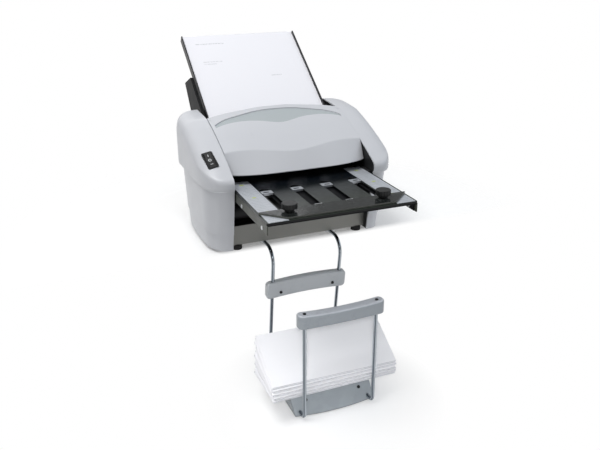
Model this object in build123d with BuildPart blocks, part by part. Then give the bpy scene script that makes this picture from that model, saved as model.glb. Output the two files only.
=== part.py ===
"""Desktop letter folding machine, millimetres, +Z up, front faces -Y.

The origin is on the desk plane, under the middle of the machine.
"""

from build123d import *
from math import asin, atan2, cos, degrees, pi, radians, sin, sqrt, tan
import os

os.makedirs("parts", exist_ok=True)

# ------------------------------------------------------------------ driving dimensions
# Fits
RUN_FIT = 0.05        # radial clearance of a shaft in its bush
PIN_FIT = 0.05        # radial clearance of a screw or rivet in its hole
SOFT_GAP = 0.3        # gap between bodies that move past each other
HAIR_GAP = 0.1        # gap between pieces that slide face to face
SEAM_GAP = 0.05       # glued seam between two pieces of one body

# Frame
TABLE_HALF = 118.0    # half the fold table's width, which sets the frame's
RUNNER_WALL = 1.9     # table runner's wall, between the table and a side plate
PLATE_T = 2.0         # side plate's sheet
BASE_Z = 8.0          # underside of the base sheet
BASE_T = 2.0
FRAME_FRONT = -76.0   # face of the lower front panel
FRAME_REAR = 103.0
PANEL_LOW = 8.0       # the lower front panel's two edges
PANEL_TOP = 41.0
REAR_FLANGE = 20.0
FOOT_R = 8.5
FOOT_INSET = 12.0
FOOT_Y = 70.0
FOOT_RECESS = 3.0

# End covers
COVER_REACH = 43.0    # width of an end cover at its cap
COVER_RIM = 2.6       # how far an end cover's rim laps over the edge of its side plate
COVER_WALL = 2.5
COVER_FRONT = -111.0
COVER_REAR = 112.0
FLANK_FRONT = -10.0   # the widest stretch of an end cover
FLANK_REAR = 62.0
COVER_TOP = 196.0
COVER_FOOT_Z = 5.0
LIP_Z = 111.0         # underside of the cap
CAP_DROP = 28.0       # how far the cap's top falls towards its outer face
CAP_REAR_ROUND = 14.0
LIP_ROUND = 6.0
BAND_Z = 34.0         # top of the slightly recessed foot band
BAND_STEP = 1.5

# Slope of the top, shared by the end covers and the front cover
SLOPE_Y = -53.0       # a point that the slope passes through
SLOPE_Z = 158.7
SLOPE_RISE = 0.3677
SLOPE_CURVE = 0.001035
CREST_Y = 40.0        # where the slope ends on the flat top
NOSE_ROUND = 12.0

# Front cover
FRONT_COVER_SIDE = 0.6  # gap to the end covers' rims
RECESS_DEPTH = 1.8
HINGE_Y = 36.0
HINGE_Z = 181.0
HINGE_R = 3.0

# Feed
FEED_ANGLE = 36.0     # slope of the paper
FEED_Y = 9.0          # where the leading edge of the sheets rests
FEED_Z = 130.0
SHEET_W = 215.9
SHEET_L = 279.4
STACK_T = 7.5
GUIDE_WALL = 2.0
GUIDE_FLOOR = 1.2
GUIDE_H = 12.5
GUIDE_TRAVEL = 8.0
TRAY_BOSS_L = 6.0     # bosses that join the tray to the side plates
TRAY_WALL = 2.5
TRAY_START = -14.0    # lower end of the tray along the slope
TRAY_REACH = 187.0    # upper end of the tray along the slope
FEED_ROLLER_R = 14.0
FEED_ROLLER_AT = 22.0

# Rollers and gears
ROLLER_R = 14.9
ROLLER_END = 8.0      # from a roller's end to the side plate
ROLLER_PITCH = 30.0   # centre distance of neighbouring rollers
SHAFT_R = 4.0
NIP_Y = -25.0         # first nip, where the sheet enters the fold table
NIP_Z = 105.0
MODULE = 1.0
GEAR_TEETH = 30
IDLER_TEETH = 60
PINION_TEETH = 18
GEAR_FACE = 8.0
IDLER_DIRECTION = -20.0
PINION_DIRECTION = -25.0
MOTOR_R = 26.0
MOTOR_L = 68.0
BUSH_R = 6.5

# Fold table
TABLE_TOP = 111.0
TABLE_FRONT = -250.0
TABLE_REAR = -45.0
TOP_PLATE_T = 3.0
POCKET = 1.6          # gap that the sheet slides into
LOWER_PLATE_T = 1.0
LOWER_PLATE_REAR = -73.0
RAIL_T = 1.5
RAIL_Z = 94.0         # underside of the rails
RAIL_REAR = -66.0
FRONT_BAR_T = 6.0
SLOT_W = 16.0
SLOT_IN = 25.0        # inner pair of slots from the middle
SLOT_EDGE = 43.5      # outer pair of slots from the table's edge
SLOT_INSET = 12.0     # front end of the slots from the table's front
SLOT_REAR = -112.0
LABEL_EDGE = 3.0      # scale label from the table's edge
LABEL_W = 30.0
LABEL_T = 0.3
STOP_INSET = 4.5      # front edge of the stop bar from the table's front
STOP_DEPTH = 33.5
STOP_T = 3.0
KNOB_INSET = 22.5     # knobs from the stop bar's front edge
KNOB_R = 11.5
KNOB_H = 12.0

# Catch tray
ROD_R = 3.0
BAR_HALF = 71.5       # half the length of the two cross bars
ROD_INSET = 11.5      # rods from the ends of the bars
ROD_DESK_Z = 3.6      # centre of the rods where they pass under the machine
ROD_TOP_Y = -113.6    # corner where they turn down
ROD_BACK_Y = -82.0    # corner where they turn forward
ROD_FRONT_Y = -243.0
ROD_FLOOR_Z = -231.0
ROD_TAIL_Y = 20.0
ROD_BEND = 25.0
ROD_CORNER = 10.0
FRONT_BAR_TOP = -43.0
BACK_BAR_Z = -70.5    # middle of the back bar at its ends
FLOOR_TOP = -194.5

# ------------------------------------------------------------------ derived values
INNER_HALF = TABLE_HALF + HAIR_GAP + RUNNER_WALL
OUTER_FACE = INNER_HALF + PLATE_T
COVER_INNER = OUTER_FACE
RIM_FACE = COVER_INNER - COVER_RIM
FRONT_COVER_HALF = RIM_FACE - FRONT_COVER_SIDE
TRAY_HALF = INNER_HALF - TRAY_BOSS_L
ROLLER_HALF = INNER_HALF - ROLLER_END
FOOT_X = INNER_HALF - FOOT_INSET
SLOT_OUT = TABLE_HALF - SLOT_EDGE
SLOT_FRONT = TABLE_FRONT + SLOT_INSET
LABEL_OUT = TABLE_HALF - LABEL_EDGE
LABEL_IN = LABEL_OUT - LABEL_W
STOP_FRONT = TABLE_FRONT + STOP_INSET
STOP_REAR = STOP_FRONT + STOP_DEPTH
KNOB_Y = STOP_FRONT + KNOB_INSET
ROD_X = BAR_HALF - ROD_INSET
BASE_TOP = BASE_Z + BASE_T
TOP_PLATE_Z = TABLE_TOP - TOP_PLATE_T
POCKET_Z = TOP_PLATE_Z - POCKET
LOWER_PLATE_Z = POCKET_Z - LOWER_PLATE_T
RAIL_IN = TABLE_HALF - RAIL_T
STOP_Z = TABLE_TOP + LABEL_T + HAIR_GAP
STACK_LOW = GUIDE_FLOOR + 2 * HAIR_GAP
STACK_HIGH = STACK_LOW + STACK_T
GEAR_X = OUTER_FACE + 2.0
FEED_U = Vector(0, cos(radians(FEED_ANGLE)), sin(radians(FEED_ANGLE)))
FEED_N = Vector(0, -sin(radians(FEED_ANGLE)), cos(radians(FEED_ANGLE)))


def feed_point(along, above, x=0.0):
    """A point given along the feed slope and above the tray's face."""
    return Vector(x, FEED_Y, FEED_Z) + FEED_U * along + FEED_N * above


def beside(centre, distance, direction):
    """The point at a distance and direction, in degrees, from a centre in the YZ plane."""
    turn = radians(direction)
    return (centre[0] + distance * cos(turn), centre[1] + distance * sin(turn))


feed_centre = feed_point(FEED_ROLLER_AT, STACK_HIGH + SOFT_GAP + FEED_ROLLER_R)
FEED_AXIS = (feed_centre.Y, feed_centre.Z)
ROLLER_AXES = (
    (NIP_Y, NIP_Z + ROLLER_PITCH / 2),
    (NIP_Y, NIP_Z - ROLLER_PITCH / 2),
    (NIP_Y - ROLLER_PITCH, NIP_Z - ROLLER_PITCH / 2),
    (NIP_Y - ROLLER_PITCH, NIP_Z - ROLLER_PITCH * 1.5),
)
IDLER_AXIS = beside(ROLLER_AXES[1], MODULE * (GEAR_TEETH + IDLER_TEETH) / 2, IDLER_DIRECTION)
MOTOR_AXIS = beside(IDLER_AXIS, MODULE * (IDLER_TEETH + PINION_TEETH) / 2, PINION_DIRECTION)
TIE_AXES = ((38.0, 118.0), (85.0, 140.0), (80.0, 22.0), (-62.0, 22.0))
COVER_POSTS = ((-68.0, 30.0), (89.0, 30.0), (96.0, 150.0))
TRAY_BOSSES = ((66.0, 160.0), (100.0, 172.0))
FLANK_SLOTS = (-SLOT_OUT, -SLOT_IN, SLOT_IN, SLOT_OUT)


# ------------------------------------------------------------------ helpers
def keep(piece, name):
    """Labels a finished piece and writes its STEP file."""
    piece.part.label = name
    export_step(piece.part, f"parts/{name}.step")


def block(x, y, z, mode=Mode.ADD):
    """A box between two limits on each axis."""
    with Locations(((x[0] + x[1]) / 2, (y[0] + y[1]) / 2, (z[0] + z[1]) / 2)):
        Box(x[1] - x[0], y[1] - y[0], z[1] - z[0], mode=mode)


def rod(axis, x, radius, mode=Mode.ADD):
    """A cylinder along X, given its axis in the YZ plane and its two ends."""
    with Locations(Plane(((x[0] + x[1]) / 2, axis[0], axis[1]), z_dir=(1, 0, 0))):
        Cylinder(radius, abs(x[1] - x[0]), mode=mode)


def post(x, y, z, radius, mode=Mode.ADD):
    """A cylinder along Z, given its centre and its two ends."""
    with Locations((x, y, (z[0] + z[1]) / 2)):
        Cylinder(radius, z[1] - z[0], mode=mode)


def side_plane(x):
    """The YZ plane at x, with its own x along +Y and its own y along +Z."""
    return Plane.YZ.offset(x)


def rounded_loop(corners, radii):
    """Draws a closed loop of straight lines whose corners are rounded by arcs."""
    ends = []
    for i, (corner, radius) in enumerate(zip(corners, radii)):
        corner = Vector(*corner)
        back = (Vector(*corners[i - 1]) - corner).normalized()
        ahead = (Vector(*corners[(i + 1) % len(corners)]) - corner).normalized()
        half = radians(back.get_angle(ahead)) / 2
        setback = radius / tan(half)
        middle = corner + (back + ahead).normalized() * (radius / sin(half) - radius)
        ends.append((corner + back * setback, middle, corner + ahead * setback))
    for i, (start, middle, end) in enumerate(ends):
        Line(ends[i - 1][2], start)
        if radii[i]:
            ThreePointArc(start, middle, end)


def slope_z(y):
    """Height of the machine's sloping top at y."""
    return SLOPE_Z + (y - SLOPE_Y) * SLOPE_RISE - SLOPE_CURVE * (y - SLOPE_Y) * (y - CREST_Y)


def roll_in(share, roundness):
    """How far, from 0 to 1, a superellipse has rolled in at a share of its reach."""
    return 1 - (1 - share**roundness) ** (1 / roundness)


def feed_plane(along, above):
    """A plane on the feed slope: its x along +X, its y up the slope."""
    return Plane(feed_point(along, above), x_dir=(1, 0, 0), z_dir=FEED_N)


def feed_block(x, along, above, mode=Mode.ADD):
    """A box that lies along the feed slope."""
    middle = feed_plane(sum(along) / 2, sum(above) / 2)
    with Locations(middle * Pos(sum(x) / 2, 0, 0)):
        Box(x[1] - x[0], along[1] - along[0], above[1] - above[0], mode=mode)


def mirrored(piece):
    """The same piece on the machine's left side."""
    return mirror(piece.part, about=Plane.YZ)


def cylinders(axes, x, radius, mode=Mode.ADD):
    """The same cylinder along X at each of several axes."""
    for axis in axes:
        rod(axis, x, radius, mode)


# ------------------------------------------------------------------ end covers
FRONT_ROUNDNESS = 3.0
REAR_ROUNDNESS = 2.0
TOP_ROUNDNESS = 3.0
LIP_ROUNDNESS = 5.0
CAP_SECTIONS = (-1, 0, 17, 33, 47, 60, 71, 80, 86, 90)
SLOPE_SHARES = (0.2, 0.4, 0.6, 0.8)
SLOPE_BLEND = 200.0
CREST_BLEND = 60.0


def cap_drop(share):
    """How far the cap's top has fallen at a share of its reach."""
    return CAP_DROP * roll_in(share, TOP_ROUNDNESS)


def cap_form(inset, overlap):
    """The rounded cap of the right end cover, moved in by inset, starting inside its plane."""
    reach = COVER_REACH - inset
    with BuildPart() as form:
        for angle in CAP_SECTIONS:
            share = sin(radians(max(angle, 0)))
            front = COVER_FRONT + inset + (FLANK_FRONT - COVER_FRONT) * roll_in(share, FRONT_ROUNDNESS)
            rear = COVER_REAR - inset - (COVER_REAR - FLANK_REAR) * roll_in(share, REAR_ROUNDNESS)
            drop = inset + cap_drop(share)
            low = LIP_Z + inset + LIP_ROUND * roll_in(share, LIP_ROUNDNESS)
            slope = [front + (CREST_Y - front) * part for part in SLOPE_SHARES]
            corners = [(front, low), (front, slope_z(front) - drop)]
            corners += [(y, slope_z(y) - drop) for y in slope]
            corners += [(CREST_Y, slope_z(CREST_Y) - drop), (rear, COVER_TOP - drop), (rear, low)]
            lip = LIP_ROUND - inset / 2
            radii = [lip, NOSE_ROUND - inset] + [SLOPE_BLEND] * len(slope)
            radii += [CREST_BLEND, CAP_REAR_ROUND - inset, lip]
            start = -overlap if angle < 0 else reach * share
            with BuildSketch(side_plane(COVER_INNER + start)):
                with BuildLine():
                    rounded_loop(corners, radii)
                make_face()
        loft()
    return form.part


BODY_FRONT = -90.0    # front of the body at its foot
BODY_LEAN = 18.0      # how much further forward it stands under the cap
BODY_REAR = 98.0
BODY_REAR_LEAN = 8.0
BODY_REACH = 35.0
BODY_FLARE = 4.5
BODY_PLAN = (         # share of the reach, share of the depth from the front, radius
    (0.45, 0.005, 22.0),
    (0.93, 0.16, 56.0),
    (1.0, 0.41, 600.0),
    (1.0, 0.65, 400.0),
    (0.85, 0.88, 48.0),
    (0.4, 0.99, 20.0),
)


def plan_outline(front, rear, reach, overlap):
    """Plan of an end cover below its cap: straight inside, barrel shaped outside."""
    corners = [(COVER_INNER - overlap, rear), (COVER_INNER - overlap, front)]
    radii = [0, 0]
    for across, along, radius in BODY_PLAN:
        corners.append((COVER_INNER + reach * across, front + (rear - front) * along))
        radii.append(radius)
    rounded_loop(corners, radii)


def body_form(inset, overlap, low, high, step=0.0):
    """A level of the right end cover below its cap, moved in by inset."""
    with BuildPart() as form:
        for z in (low, high):
            rise = (z - COVER_FOOT_Z) / (LIP_Z - COVER_FOOT_Z)
            front = BODY_FRONT - BODY_LEAN * rise + inset + step
            rear = BODY_REAR + BODY_REAR_LEAN * rise - inset - step
            reach = BODY_REACH + BODY_FLARE * rise - inset - step
            with BuildSketch(Plane.XY.offset(z)):
                with BuildLine():
                    plan_outline(front, rear, reach, overlap)
                make_face()
        loft()
    return form.part


POST_R = 4.0
SCREW_R = 1.5         # cover screws
SCREW_L = 10.0
SCREW_HEAD_R = 3.0
SCREW_HEAD_H = 2.2

with BuildPart() as cover_posts:
    cylinders(COVER_POSTS, (COVER_INNER, COVER_INNER + COVER_REACH), POST_R)
    with BuildPart(mode=Mode.PRIVATE) as post_limit:
        add(cap_form((COVER_WALL + BAND_STEP) / 2, 1))
        add(body_form((COVER_WALL + BAND_STEP) / 2, 1, COVER_FOOT_Z, LIP_Z + LIP_ROUND))
    add(post_limit.part, mode=Mode.INTERSECT)

BODY_INSET = COVER_WALL + BAND_STEP
OVER = COVER_RIM + 1  # solid forms start this far inside the cover's plane, hollows 1 more

with BuildPart() as end_cover_right:
    add(cap_form(0, OVER))
    add(body_form(0, OVER, BAND_Z, LIP_Z + LIP_ROUND))
    add(body_form(0, OVER, COVER_FOOT_Z, BAND_Z + COVER_WALL, BAND_STEP))
    add(cap_form(COVER_WALL, OVER + 1), mode=Mode.SUBTRACT)
    add(body_form(BODY_INSET, OVER + 1, COVER_FOOT_Z - 1, LIP_Z + LIP_ROUND + 2), mode=Mode.SUBTRACT)
    split(bisect_by=side_plane(RIM_FACE), keep=Keep.TOP)
    add(cover_posts.part)
    cylinders(COVER_POSTS, (COVER_INNER - 1, COVER_INNER + SCREW_L + 1), SCREW_R, mode=Mode.SUBTRACT)
keep(end_cover_right, "end_cover_right")

# The power switch sits on the left cover's slope
SWITCH_AT = 22.0      # from the cover's inner plane
SWITCH_Y = -64.0
SWITCH_W = 15.0
SWITCH_L = 34.0
SWITCH_RIM = 1.2      # width and height of the rim around it
SWITCH_DEPTH = 14.0
ROCKER_W = 11.4
ROCKER_L = 29.0
ROCKER_ROOM = 1.0     # gap at each end that lets the rocker tilt
ROCKER_TILT = 8.0
ROCKER_RISE = 4.6     # height of the rocker's ends above its pivot
ROCKER_WAIST = 3.0    # height of its middle
PIVOT_R = 1.5
PIVOT_DEPTH = 2.0
switch_tilt = degrees(atan2(slope_z(SWITCH_Y + 1) - slope_z(SWITCH_Y - 1), 2))
near_drop, middle_drop, far_drop = [
    cap_drop((SWITCH_AT + across) / COVER_REACH) for across in (-SWITCH_W / 2, 0, SWITCH_W / 2)
]
switch_roll = degrees(atan2(far_drop - near_drop, SWITCH_W))
switch_spot = Plane((-COVER_INNER - SWITCH_AT, SWITCH_Y, slope_z(SWITCH_Y) - middle_drop))
SWITCH_SEAT = Plane(switch_spot * Rot(0, -switch_roll, 0) * Rot(switch_tilt, 0, 0))
PIVOT_PLANE = SWITCH_SEAT.offset(-PIVOT_DEPTH)

with BuildPart() as end_cover_left:
    add(mirrored(end_cover_right))
    with BuildSketch(SWITCH_SEAT):
        Rectangle(SWITCH_W, SWITCH_L)
    extrude(amount=SWITCH_DEPTH, both=True, mode=Mode.SUBTRACT)
    with BuildSketch(SWITCH_SEAT):
        RectangleRounded(SWITCH_W + 2 * SWITCH_RIM, SWITCH_L + 2 * SWITCH_RIM, 2 * SWITCH_RIM)
    extrude(amount=SWITCH_DEPTH, mode=Mode.SUBTRACT)
keep(end_cover_left, "end_cover_left")

with BuildPart() as switch_bezel:
    with BuildSketch(SWITCH_SEAT):
        RectangleRounded(SWITCH_W + 2 * SWITCH_RIM, SWITCH_L + 2 * SWITCH_RIM, 2 * SWITCH_RIM)
    extrude(amount=SWITCH_RIM)
    with BuildSketch(SWITCH_SEAT):
        Rectangle(SWITCH_W, SWITCH_L)
    extrude(amount=-SWITCH_DEPTH)
    with BuildSketch(SWITCH_SEAT.offset(SWITCH_RIM)):
        Rectangle(ROCKER_W + 2 * SOFT_GAP, ROCKER_L + 2 * ROCKER_ROOM)
    extrude(amount=-SWITCH_RIM - SWITCH_DEPTH + COVER_WALL, mode=Mode.SUBTRACT)
    with Locations(PIVOT_PLANE * Rot(0, 90, 0)):
        Cylinder(PIVOT_R + RUN_FIT, ROCKER_W + 2 * SWITCH_RIM, mode=Mode.SUBTRACT)
keep(switch_bezel, "switch_bezel")

rocker_plane = PIVOT_PLANE * Rot(ROCKER_TILT, 0, 0) * Rot(0, 0, 90) * Rot(90, 0, 0)
with BuildPart() as switch_rocker:
    with BuildSketch(rocker_plane):
        with BuildLine():
            half = ROCKER_L / 2
            face = (-half, ROCKER_RISE), (0, ROCKER_WAIST), (half, ROCKER_RISE)
            Polyline(*face, (half, -ROCKER_WAIST), (-half, -ROCKER_WAIST), close=True)
        make_face()
    extrude(amount=ROCKER_W / 2, both=True)
    with Locations(PIVOT_PLANE * Rot(0, 90, 0)):
        Cylinder(PIVOT_R, ROCKER_W + 2 * SWITCH_RIM)
keep(switch_rocker, "switch_rocker")

# ------------------------------------------------------------------ side plates and their screws
TIE_R = 4.0
TIE_SCREW_R = 2.0
TIE_SCREW_HEAD_R = 3.5
TIE_SCREW_HEAD_H = 3.0
TIE_SCREW_L = 10.0
BOSS_R = 6.0
MOTOR_HUB_R = 9.0
PLATE_CLEAR = 0.5     # from a side plate's edge to the inside of its end cover
PLATE_LIP_ROUND = 4.0

with BuildPart() as side_plate_right:
    edge = COVER_WALL + PLATE_CLEAR
    body_edge = BODY_INSET + 2 * PLATE_CLEAR
    front = COVER_FRONT + edge
    slope = [front + (CREST_Y - front) * part for part in SLOPE_SHARES]
    corners = [
        (BODY_REAR - body_edge, COVER_FOOT_Z),
        (BODY_FRONT + body_edge, COVER_FOOT_Z),
        (BODY_FRONT - BODY_LEAN + body_edge, LIP_Z + edge),
        (front, LIP_Z + edge),
        (front, slope_z(front) - edge),
    ]
    corners += [(y, slope_z(y) - edge) for y in slope]
    corners += [
        (CREST_Y, slope_z(CREST_Y) - edge),
        (COVER_REAR - edge, COVER_TOP - edge),
        (COVER_REAR - edge, LIP_Z + edge),
        (BODY_REAR + BODY_REAR_LEAN - body_edge, LIP_Z + edge),
    ]
    radii = [0, 0, 0, PLATE_LIP_ROUND, NOSE_ROUND - edge] + [SLOPE_BLEND] * len(slope)
    radii += [CREST_BLEND, CAP_REAR_ROUND - edge, PLATE_LIP_ROUND, 0]
    with BuildSketch(side_plane(INNER_HALF)):
        with BuildLine():
            rounded_loop(corners, radii)
        make_face()
    extrude(amount=PLATE_T)
    through = (INNER_HALF - 1, OUTER_FACE + 1)
    cylinders(ROLLER_AXES + (FEED_AXIS,), through, BUSH_R, mode=Mode.SUBTRACT)
    rod((HINGE_Y, HINGE_Z), through, HINGE_R + RUN_FIT, mode=Mode.SUBTRACT)
    cylinders(TIE_AXES + TRAY_BOSSES, through, TIE_SCREW_R, mode=Mode.SUBTRACT)
    cylinders(COVER_POSTS, through, SCREW_R, mode=Mode.SUBTRACT)
    rod(IDLER_AXIS, through, SHAFT_R, mode=Mode.SUBTRACT)
    rod(MOTOR_AXIS, through, MOTOR_HUB_R, mode=Mode.SUBTRACT)
keep(side_plate_right, "side_plate_right")

with BuildPart() as side_plate_left:
    add(mirrored(side_plate_right))
    left_through = (-OUTER_FACE, -INNER_HALF)
    rod(IDLER_AXIS, left_through, SHAFT_R)
    rod(MOTOR_AXIS, left_through, MOTOR_HUB_R)
keep(side_plate_left, "side_plate_left")

with BuildPart() as tie_bars:
    cylinders(TIE_AXES, (-INNER_HALF, INNER_HALF), TIE_R)
    for side in (-1, 1):
        ends = (side * INNER_HALF, side * (INNER_HALF - TIE_SCREW_L))
        cylinders(TIE_AXES, ends, TIE_SCREW_R, mode=Mode.SUBTRACT)
keep(tie_bars, "tie_bars")

with BuildPart() as frame_screws:
    for side in (-1, 1):
        inner, outer = side * INNER_HALF, side * OUTER_FACE
        cylinders(TIE_AXES, (inner - side * TIE_SCREW_L, outer), TIE_SCREW_R)
        cylinders(TRAY_BOSSES, (inner - side * (INNER_HALF - TRAY_HALF), outer), TIE_SCREW_R)
        heads = (outer, outer + side * TIE_SCREW_HEAD_H)
        cylinders(TIE_AXES + TRAY_BOSSES, heads, TIE_SCREW_HEAD_R)
        cylinders(COVER_POSTS, (inner, outer + side * SCREW_L), SCREW_R)
        cylinders(COVER_POSTS, (inner - side * SCREW_HEAD_H, inner), SCREW_HEAD_R)
keep(frame_screws, "frame_screws")

# ------------------------------------------------------------------ base, rear cover and feet
REAR_COVER_T = 3.0
REAR_COVER_TOP = 150.0
VENTS = 9
VENT_PITCH = 9.0
VENT_W = 3.0
VENT_H = 34.0
VENT_X = 30.0         # middle of the row of vents
VENT_Z = 85.0
INLET_INSET = 35.0    # power inlet's middle from the side plate
INLET_Z = 60.0
INLET_W = 27.0
INLET_H = 20.0
INLET_DEPTH = 17.0
INLET_RIM = 2.0
PIN_PITCH = 7.0
INLET_X = INLET_INSET - INNER_HALF

with BuildPart() as chassis_base:
    sheet = (-INNER_HALF, INNER_HALF)
    block(sheet, (FRAME_FRONT, FRAME_REAR), (BASE_Z, BASE_TOP))
    block(sheet, (FRAME_FRONT, FRAME_FRONT + BASE_T), (PANEL_LOW, PANEL_TOP))
    block(sheet, (FRAME_REAR - BASE_T, FRAME_REAR), (BASE_Z, BASE_Z + REAR_FLANGE))
keep(chassis_base, "chassis_base")

with BuildPart() as rear_cover:
    between_rims = (SOFT_GAP - RIM_FACE, RIM_FACE - SOFT_GAP)
    block(between_rims, (FRAME_REAR, FRAME_REAR + REAR_COVER_T), (BASE_Z, REAR_COVER_TOP))
    for i in range(VENTS):
        x = VENT_X + (i - (VENTS - 1) / 2) * VENT_PITCH
        middle = (x - VENT_W / 2, x + VENT_W / 2)
        heights = (VENT_Z - VENT_H / 2, VENT_Z + VENT_H / 2)
        block(middle, (FRAME_REAR - 1, FRAME_REAR + REAR_COVER_T + 1), heights, mode=Mode.SUBTRACT)
    inlet_x = (INLET_X - INLET_W / 2, INLET_X + INLET_W / 2)
    inlet_z = (INLET_Z - INLET_H / 2, INLET_Z + INLET_H / 2)
    block(inlet_x, (FRAME_REAR - 1, FRAME_REAR + REAR_COVER_T + 1), inlet_z, mode=Mode.SUBTRACT)
keep(rear_cover, "rear_cover")

with BuildPart() as power_inlet:
    back = FRAME_REAR + REAR_COVER_T
    block(inlet_x, (back - INLET_DEPTH, back), inlet_z)
    rim_x = (inlet_x[0] - INLET_RIM, inlet_x[1] + INLET_RIM)
    rim_z = (inlet_z[0] - INLET_RIM, inlet_z[1] + INLET_RIM)
    block(rim_x, (back, back + INLET_RIM), rim_z)
    well_x = (inlet_x[0] + INLET_RIM, inlet_x[1] - INLET_RIM)
    well_z = (inlet_z[0] + INLET_RIM, inlet_z[1] - INLET_RIM)
    block(well_x, (back - INLET_DEPTH + INLET_RIM, back + INLET_RIM + 1), well_z, mode=Mode.SUBTRACT)
    for across, up in ((-PIN_PITCH, -2.0), (0.0, 2.0), (PIN_PITCH, -2.0)):
        pin_x = (INLET_X + across - 1, INLET_X + across + 1)
        block(pin_x, (back - INLET_DEPTH, back - INLET_RIM), (INLET_Z + up - 2, INLET_Z + up + 2))
keep(power_inlet, "power_inlet")

with BuildPart() as rubber_feet:
    for x in (-FOOT_X, FOOT_X):
        for y in (-FOOT_Y, FOOT_Y):
            post(x, y, (0, BASE_Z), FOOT_R)
            post(x, y, (0, FOOT_RECESS), FOOT_R / 3, mode=Mode.SUBTRACT)
keep(rubber_feet, "rubber_feet")

# ------------------------------------------------------------------ control board in the left cover
BOARD_Y = (28.0, 86.0)
BOARD_Z = (44.0, 104.0)
BOARD_T = 1.6
STANDOFF_L = 8.0
STANDOFF_R = 3.0
STANDOFF_INSET = 5.0
COMPONENTS = (        # place along Y and Z, size along Y and Z, height
    (50.0, 88.0, 22.0, 18.0, 9.0),
    (78.0, 92.0, 10.0, 10.0, 7.0),
    (78.0, 74.0, 14.0, 6.0, 3.0),
    (52.0, 60.0, 8.0, 16.0, 8.0),
)

with BuildPart() as board_standoffs:
    for y in (BOARD_Y[0] + STANDOFF_INSET, BOARD_Y[1] - STANDOFF_INSET):
        for z in (BOARD_Z[0] + STANDOFF_INSET, BOARD_Z[1] - STANDOFF_INSET):
            rod((y, z), (-OUTER_FACE - STANDOFF_L, -OUTER_FACE), STANDOFF_R)
keep(board_standoffs, "board_standoffs")

with BuildPart() as circuit_board:
    board_face = -OUTER_FACE - STANDOFF_L - BOARD_T
    block((board_face, board_face + BOARD_T), BOARD_Y, BOARD_Z)
    for y, z, depth, height, rise in COMPONENTS:
        along = (y - depth / 2, y + depth / 2)
        block((board_face - rise, board_face), along, (z - height / 2, z + height / 2))
keep(circuit_board, "circuit_board")

# ------------------------------------------------------------------ front cover, hinged at its rear
FRONT_COVER = (        # from the middle outward: share of the half width, then in YZ
    (0.0, (-66.0, 153.0), (-90.0, 125.7), (49.0, 204.5)),   # crease, bottom edge, top edge
    (0.38, (-60.0, 156.5), (-89.3, 125.7), (48.1, 202.8)),
    (0.67, (-55.5, 159.3), (-86.0, 125.8), (45.5, 199.6)),
    (0.84, (-55.2, 159.4), (-81.5, 126.0), (43.2, 197.2)),
    (0.94, (-55.8, 159.0), (-77.0, 126.2), (41.2, 195.4)),
    (1.0, (-56.5, 158.6), (-72.5, 126.4), (40.0, 194.5)),
)
BULGE = 2.4           # how far the middle of the slope stands above a straight line
COVER_LIP = 8.0       # turned-down rear edge
SKIN = 3.0
CREASE_ROUND = 6.0
SLOPE_ROUND = 300.0
RIM_ROUND = 2.5
FILL_DEPTH = 9.0      # how far the filled form reaches below the bottom edge
EAR_T = 6.0
EAR_R = 6.0
EAR_H = 11.0


def front_cover_loft(drop, filled):
    """The front cover lofted across the machine, lowered by drop, as a shell or filled below."""
    right = [(share * FRONT_COVER_HALF, *rest) for share, *rest in FRONT_COVER]
    left = [(-x, *rest) for x, *rest in reversed(right[1:])]
    with BuildPart() as form:
        for x, crease, bottom, top in left + right:
            middle = ((crease[0] + top[0]) / 2 - 1, (crease[1] + top[1]) / 2 + BULGE)
            outer = [bottom, crease, middle, top]
            radii = [0.8, CREASE_ROUND, SLOPE_ROUND, RIM_ROUND]
            if filled:
                inner = [(top[0], bottom[1] - FILL_DEPTH), (bottom[0], bottom[1] - FILL_DEPTH)]
                inner_radii = [0, 0]
            else:
                inner = [(top[0], top[1] - COVER_LIP), (top[0] - SKIN, top[1] - COVER_LIP)]
                inner += [(top[0] - SKIN, top[1] - 1.4 * SKIN), (middle[0], middle[1] - 1.08 * SKIN)]
                inner += [(crease[0] + 0.63 * SKIN, crease[1] - SKIN), (bottom[0] + 1.3 * SKIN, bottom[1])]
                inner_radii = [0.5, 0.5, 1.0, SLOPE_ROUND - SKIN, CREASE_ROUND - SKIN, 0.5]
            with BuildSketch(side_plane(x)):
                with BuildLine():
                    loop = [(y, z - drop) for y, z in outer + inner]
                    rounded_loop(loop, radii + inner_radii)
                make_face()
        loft()
    return form.part


RECESS_REAR = ((0, 38.5), (0.3, 37), (0.58, 31), (0.85, 21.5), (0.95, 13))  # share, y
RECESS_FRONT = ((0, 0), (0.31, 9), (0.6, 13.5), (0.95, 5))

with BuildPart() as recess:
    with BuildSketch(Plane.XY.offset(TABLE_TOP)):
        with BuildLine():
            for edge in (RECESS_REAR, RECESS_FRONT):
                half_edge = [(share * FRONT_COVER_HALF, y) for share, y in edge]
                Spline(*[(-x, y) for x, y in reversed(half_edge[1:])], *half_edge)
            end_x = RECESS_REAR[-1][0] * FRONT_COVER_HALF
            for x in (-end_x, end_x):
                Line((x, RECESS_REAR[-1][1]), (x, RECESS_FRONT[-1][1]))
        make_face()
    extrude(amount=COVER_TOP)
    add(front_cover_loft(RECESS_DEPTH, True), mode=Mode.SUBTRACT)

with BuildPart() as front_cover:
    add(front_cover_loft(0, False))
    for side in (-1, 1):
        ear_x = (side * FRONT_COVER_HALF, side * (FRONT_COVER_HALF - EAR_T))
        rod((HINGE_Y, HINGE_Z), ear_x, EAR_R)
        block(sorted(ear_x), (HINGE_Y - EAR_R, HINGE_Y + EAR_R / 2), (HINGE_Z, HINGE_Z + EAR_H))
        rod((HINGE_Y, HINGE_Z), (side * FRONT_COVER_HALF, side * OUTER_FACE), HINGE_R)
    add(recess.part, mode=Mode.SUBTRACT)
keep(front_cover, "front_cover")

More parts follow.
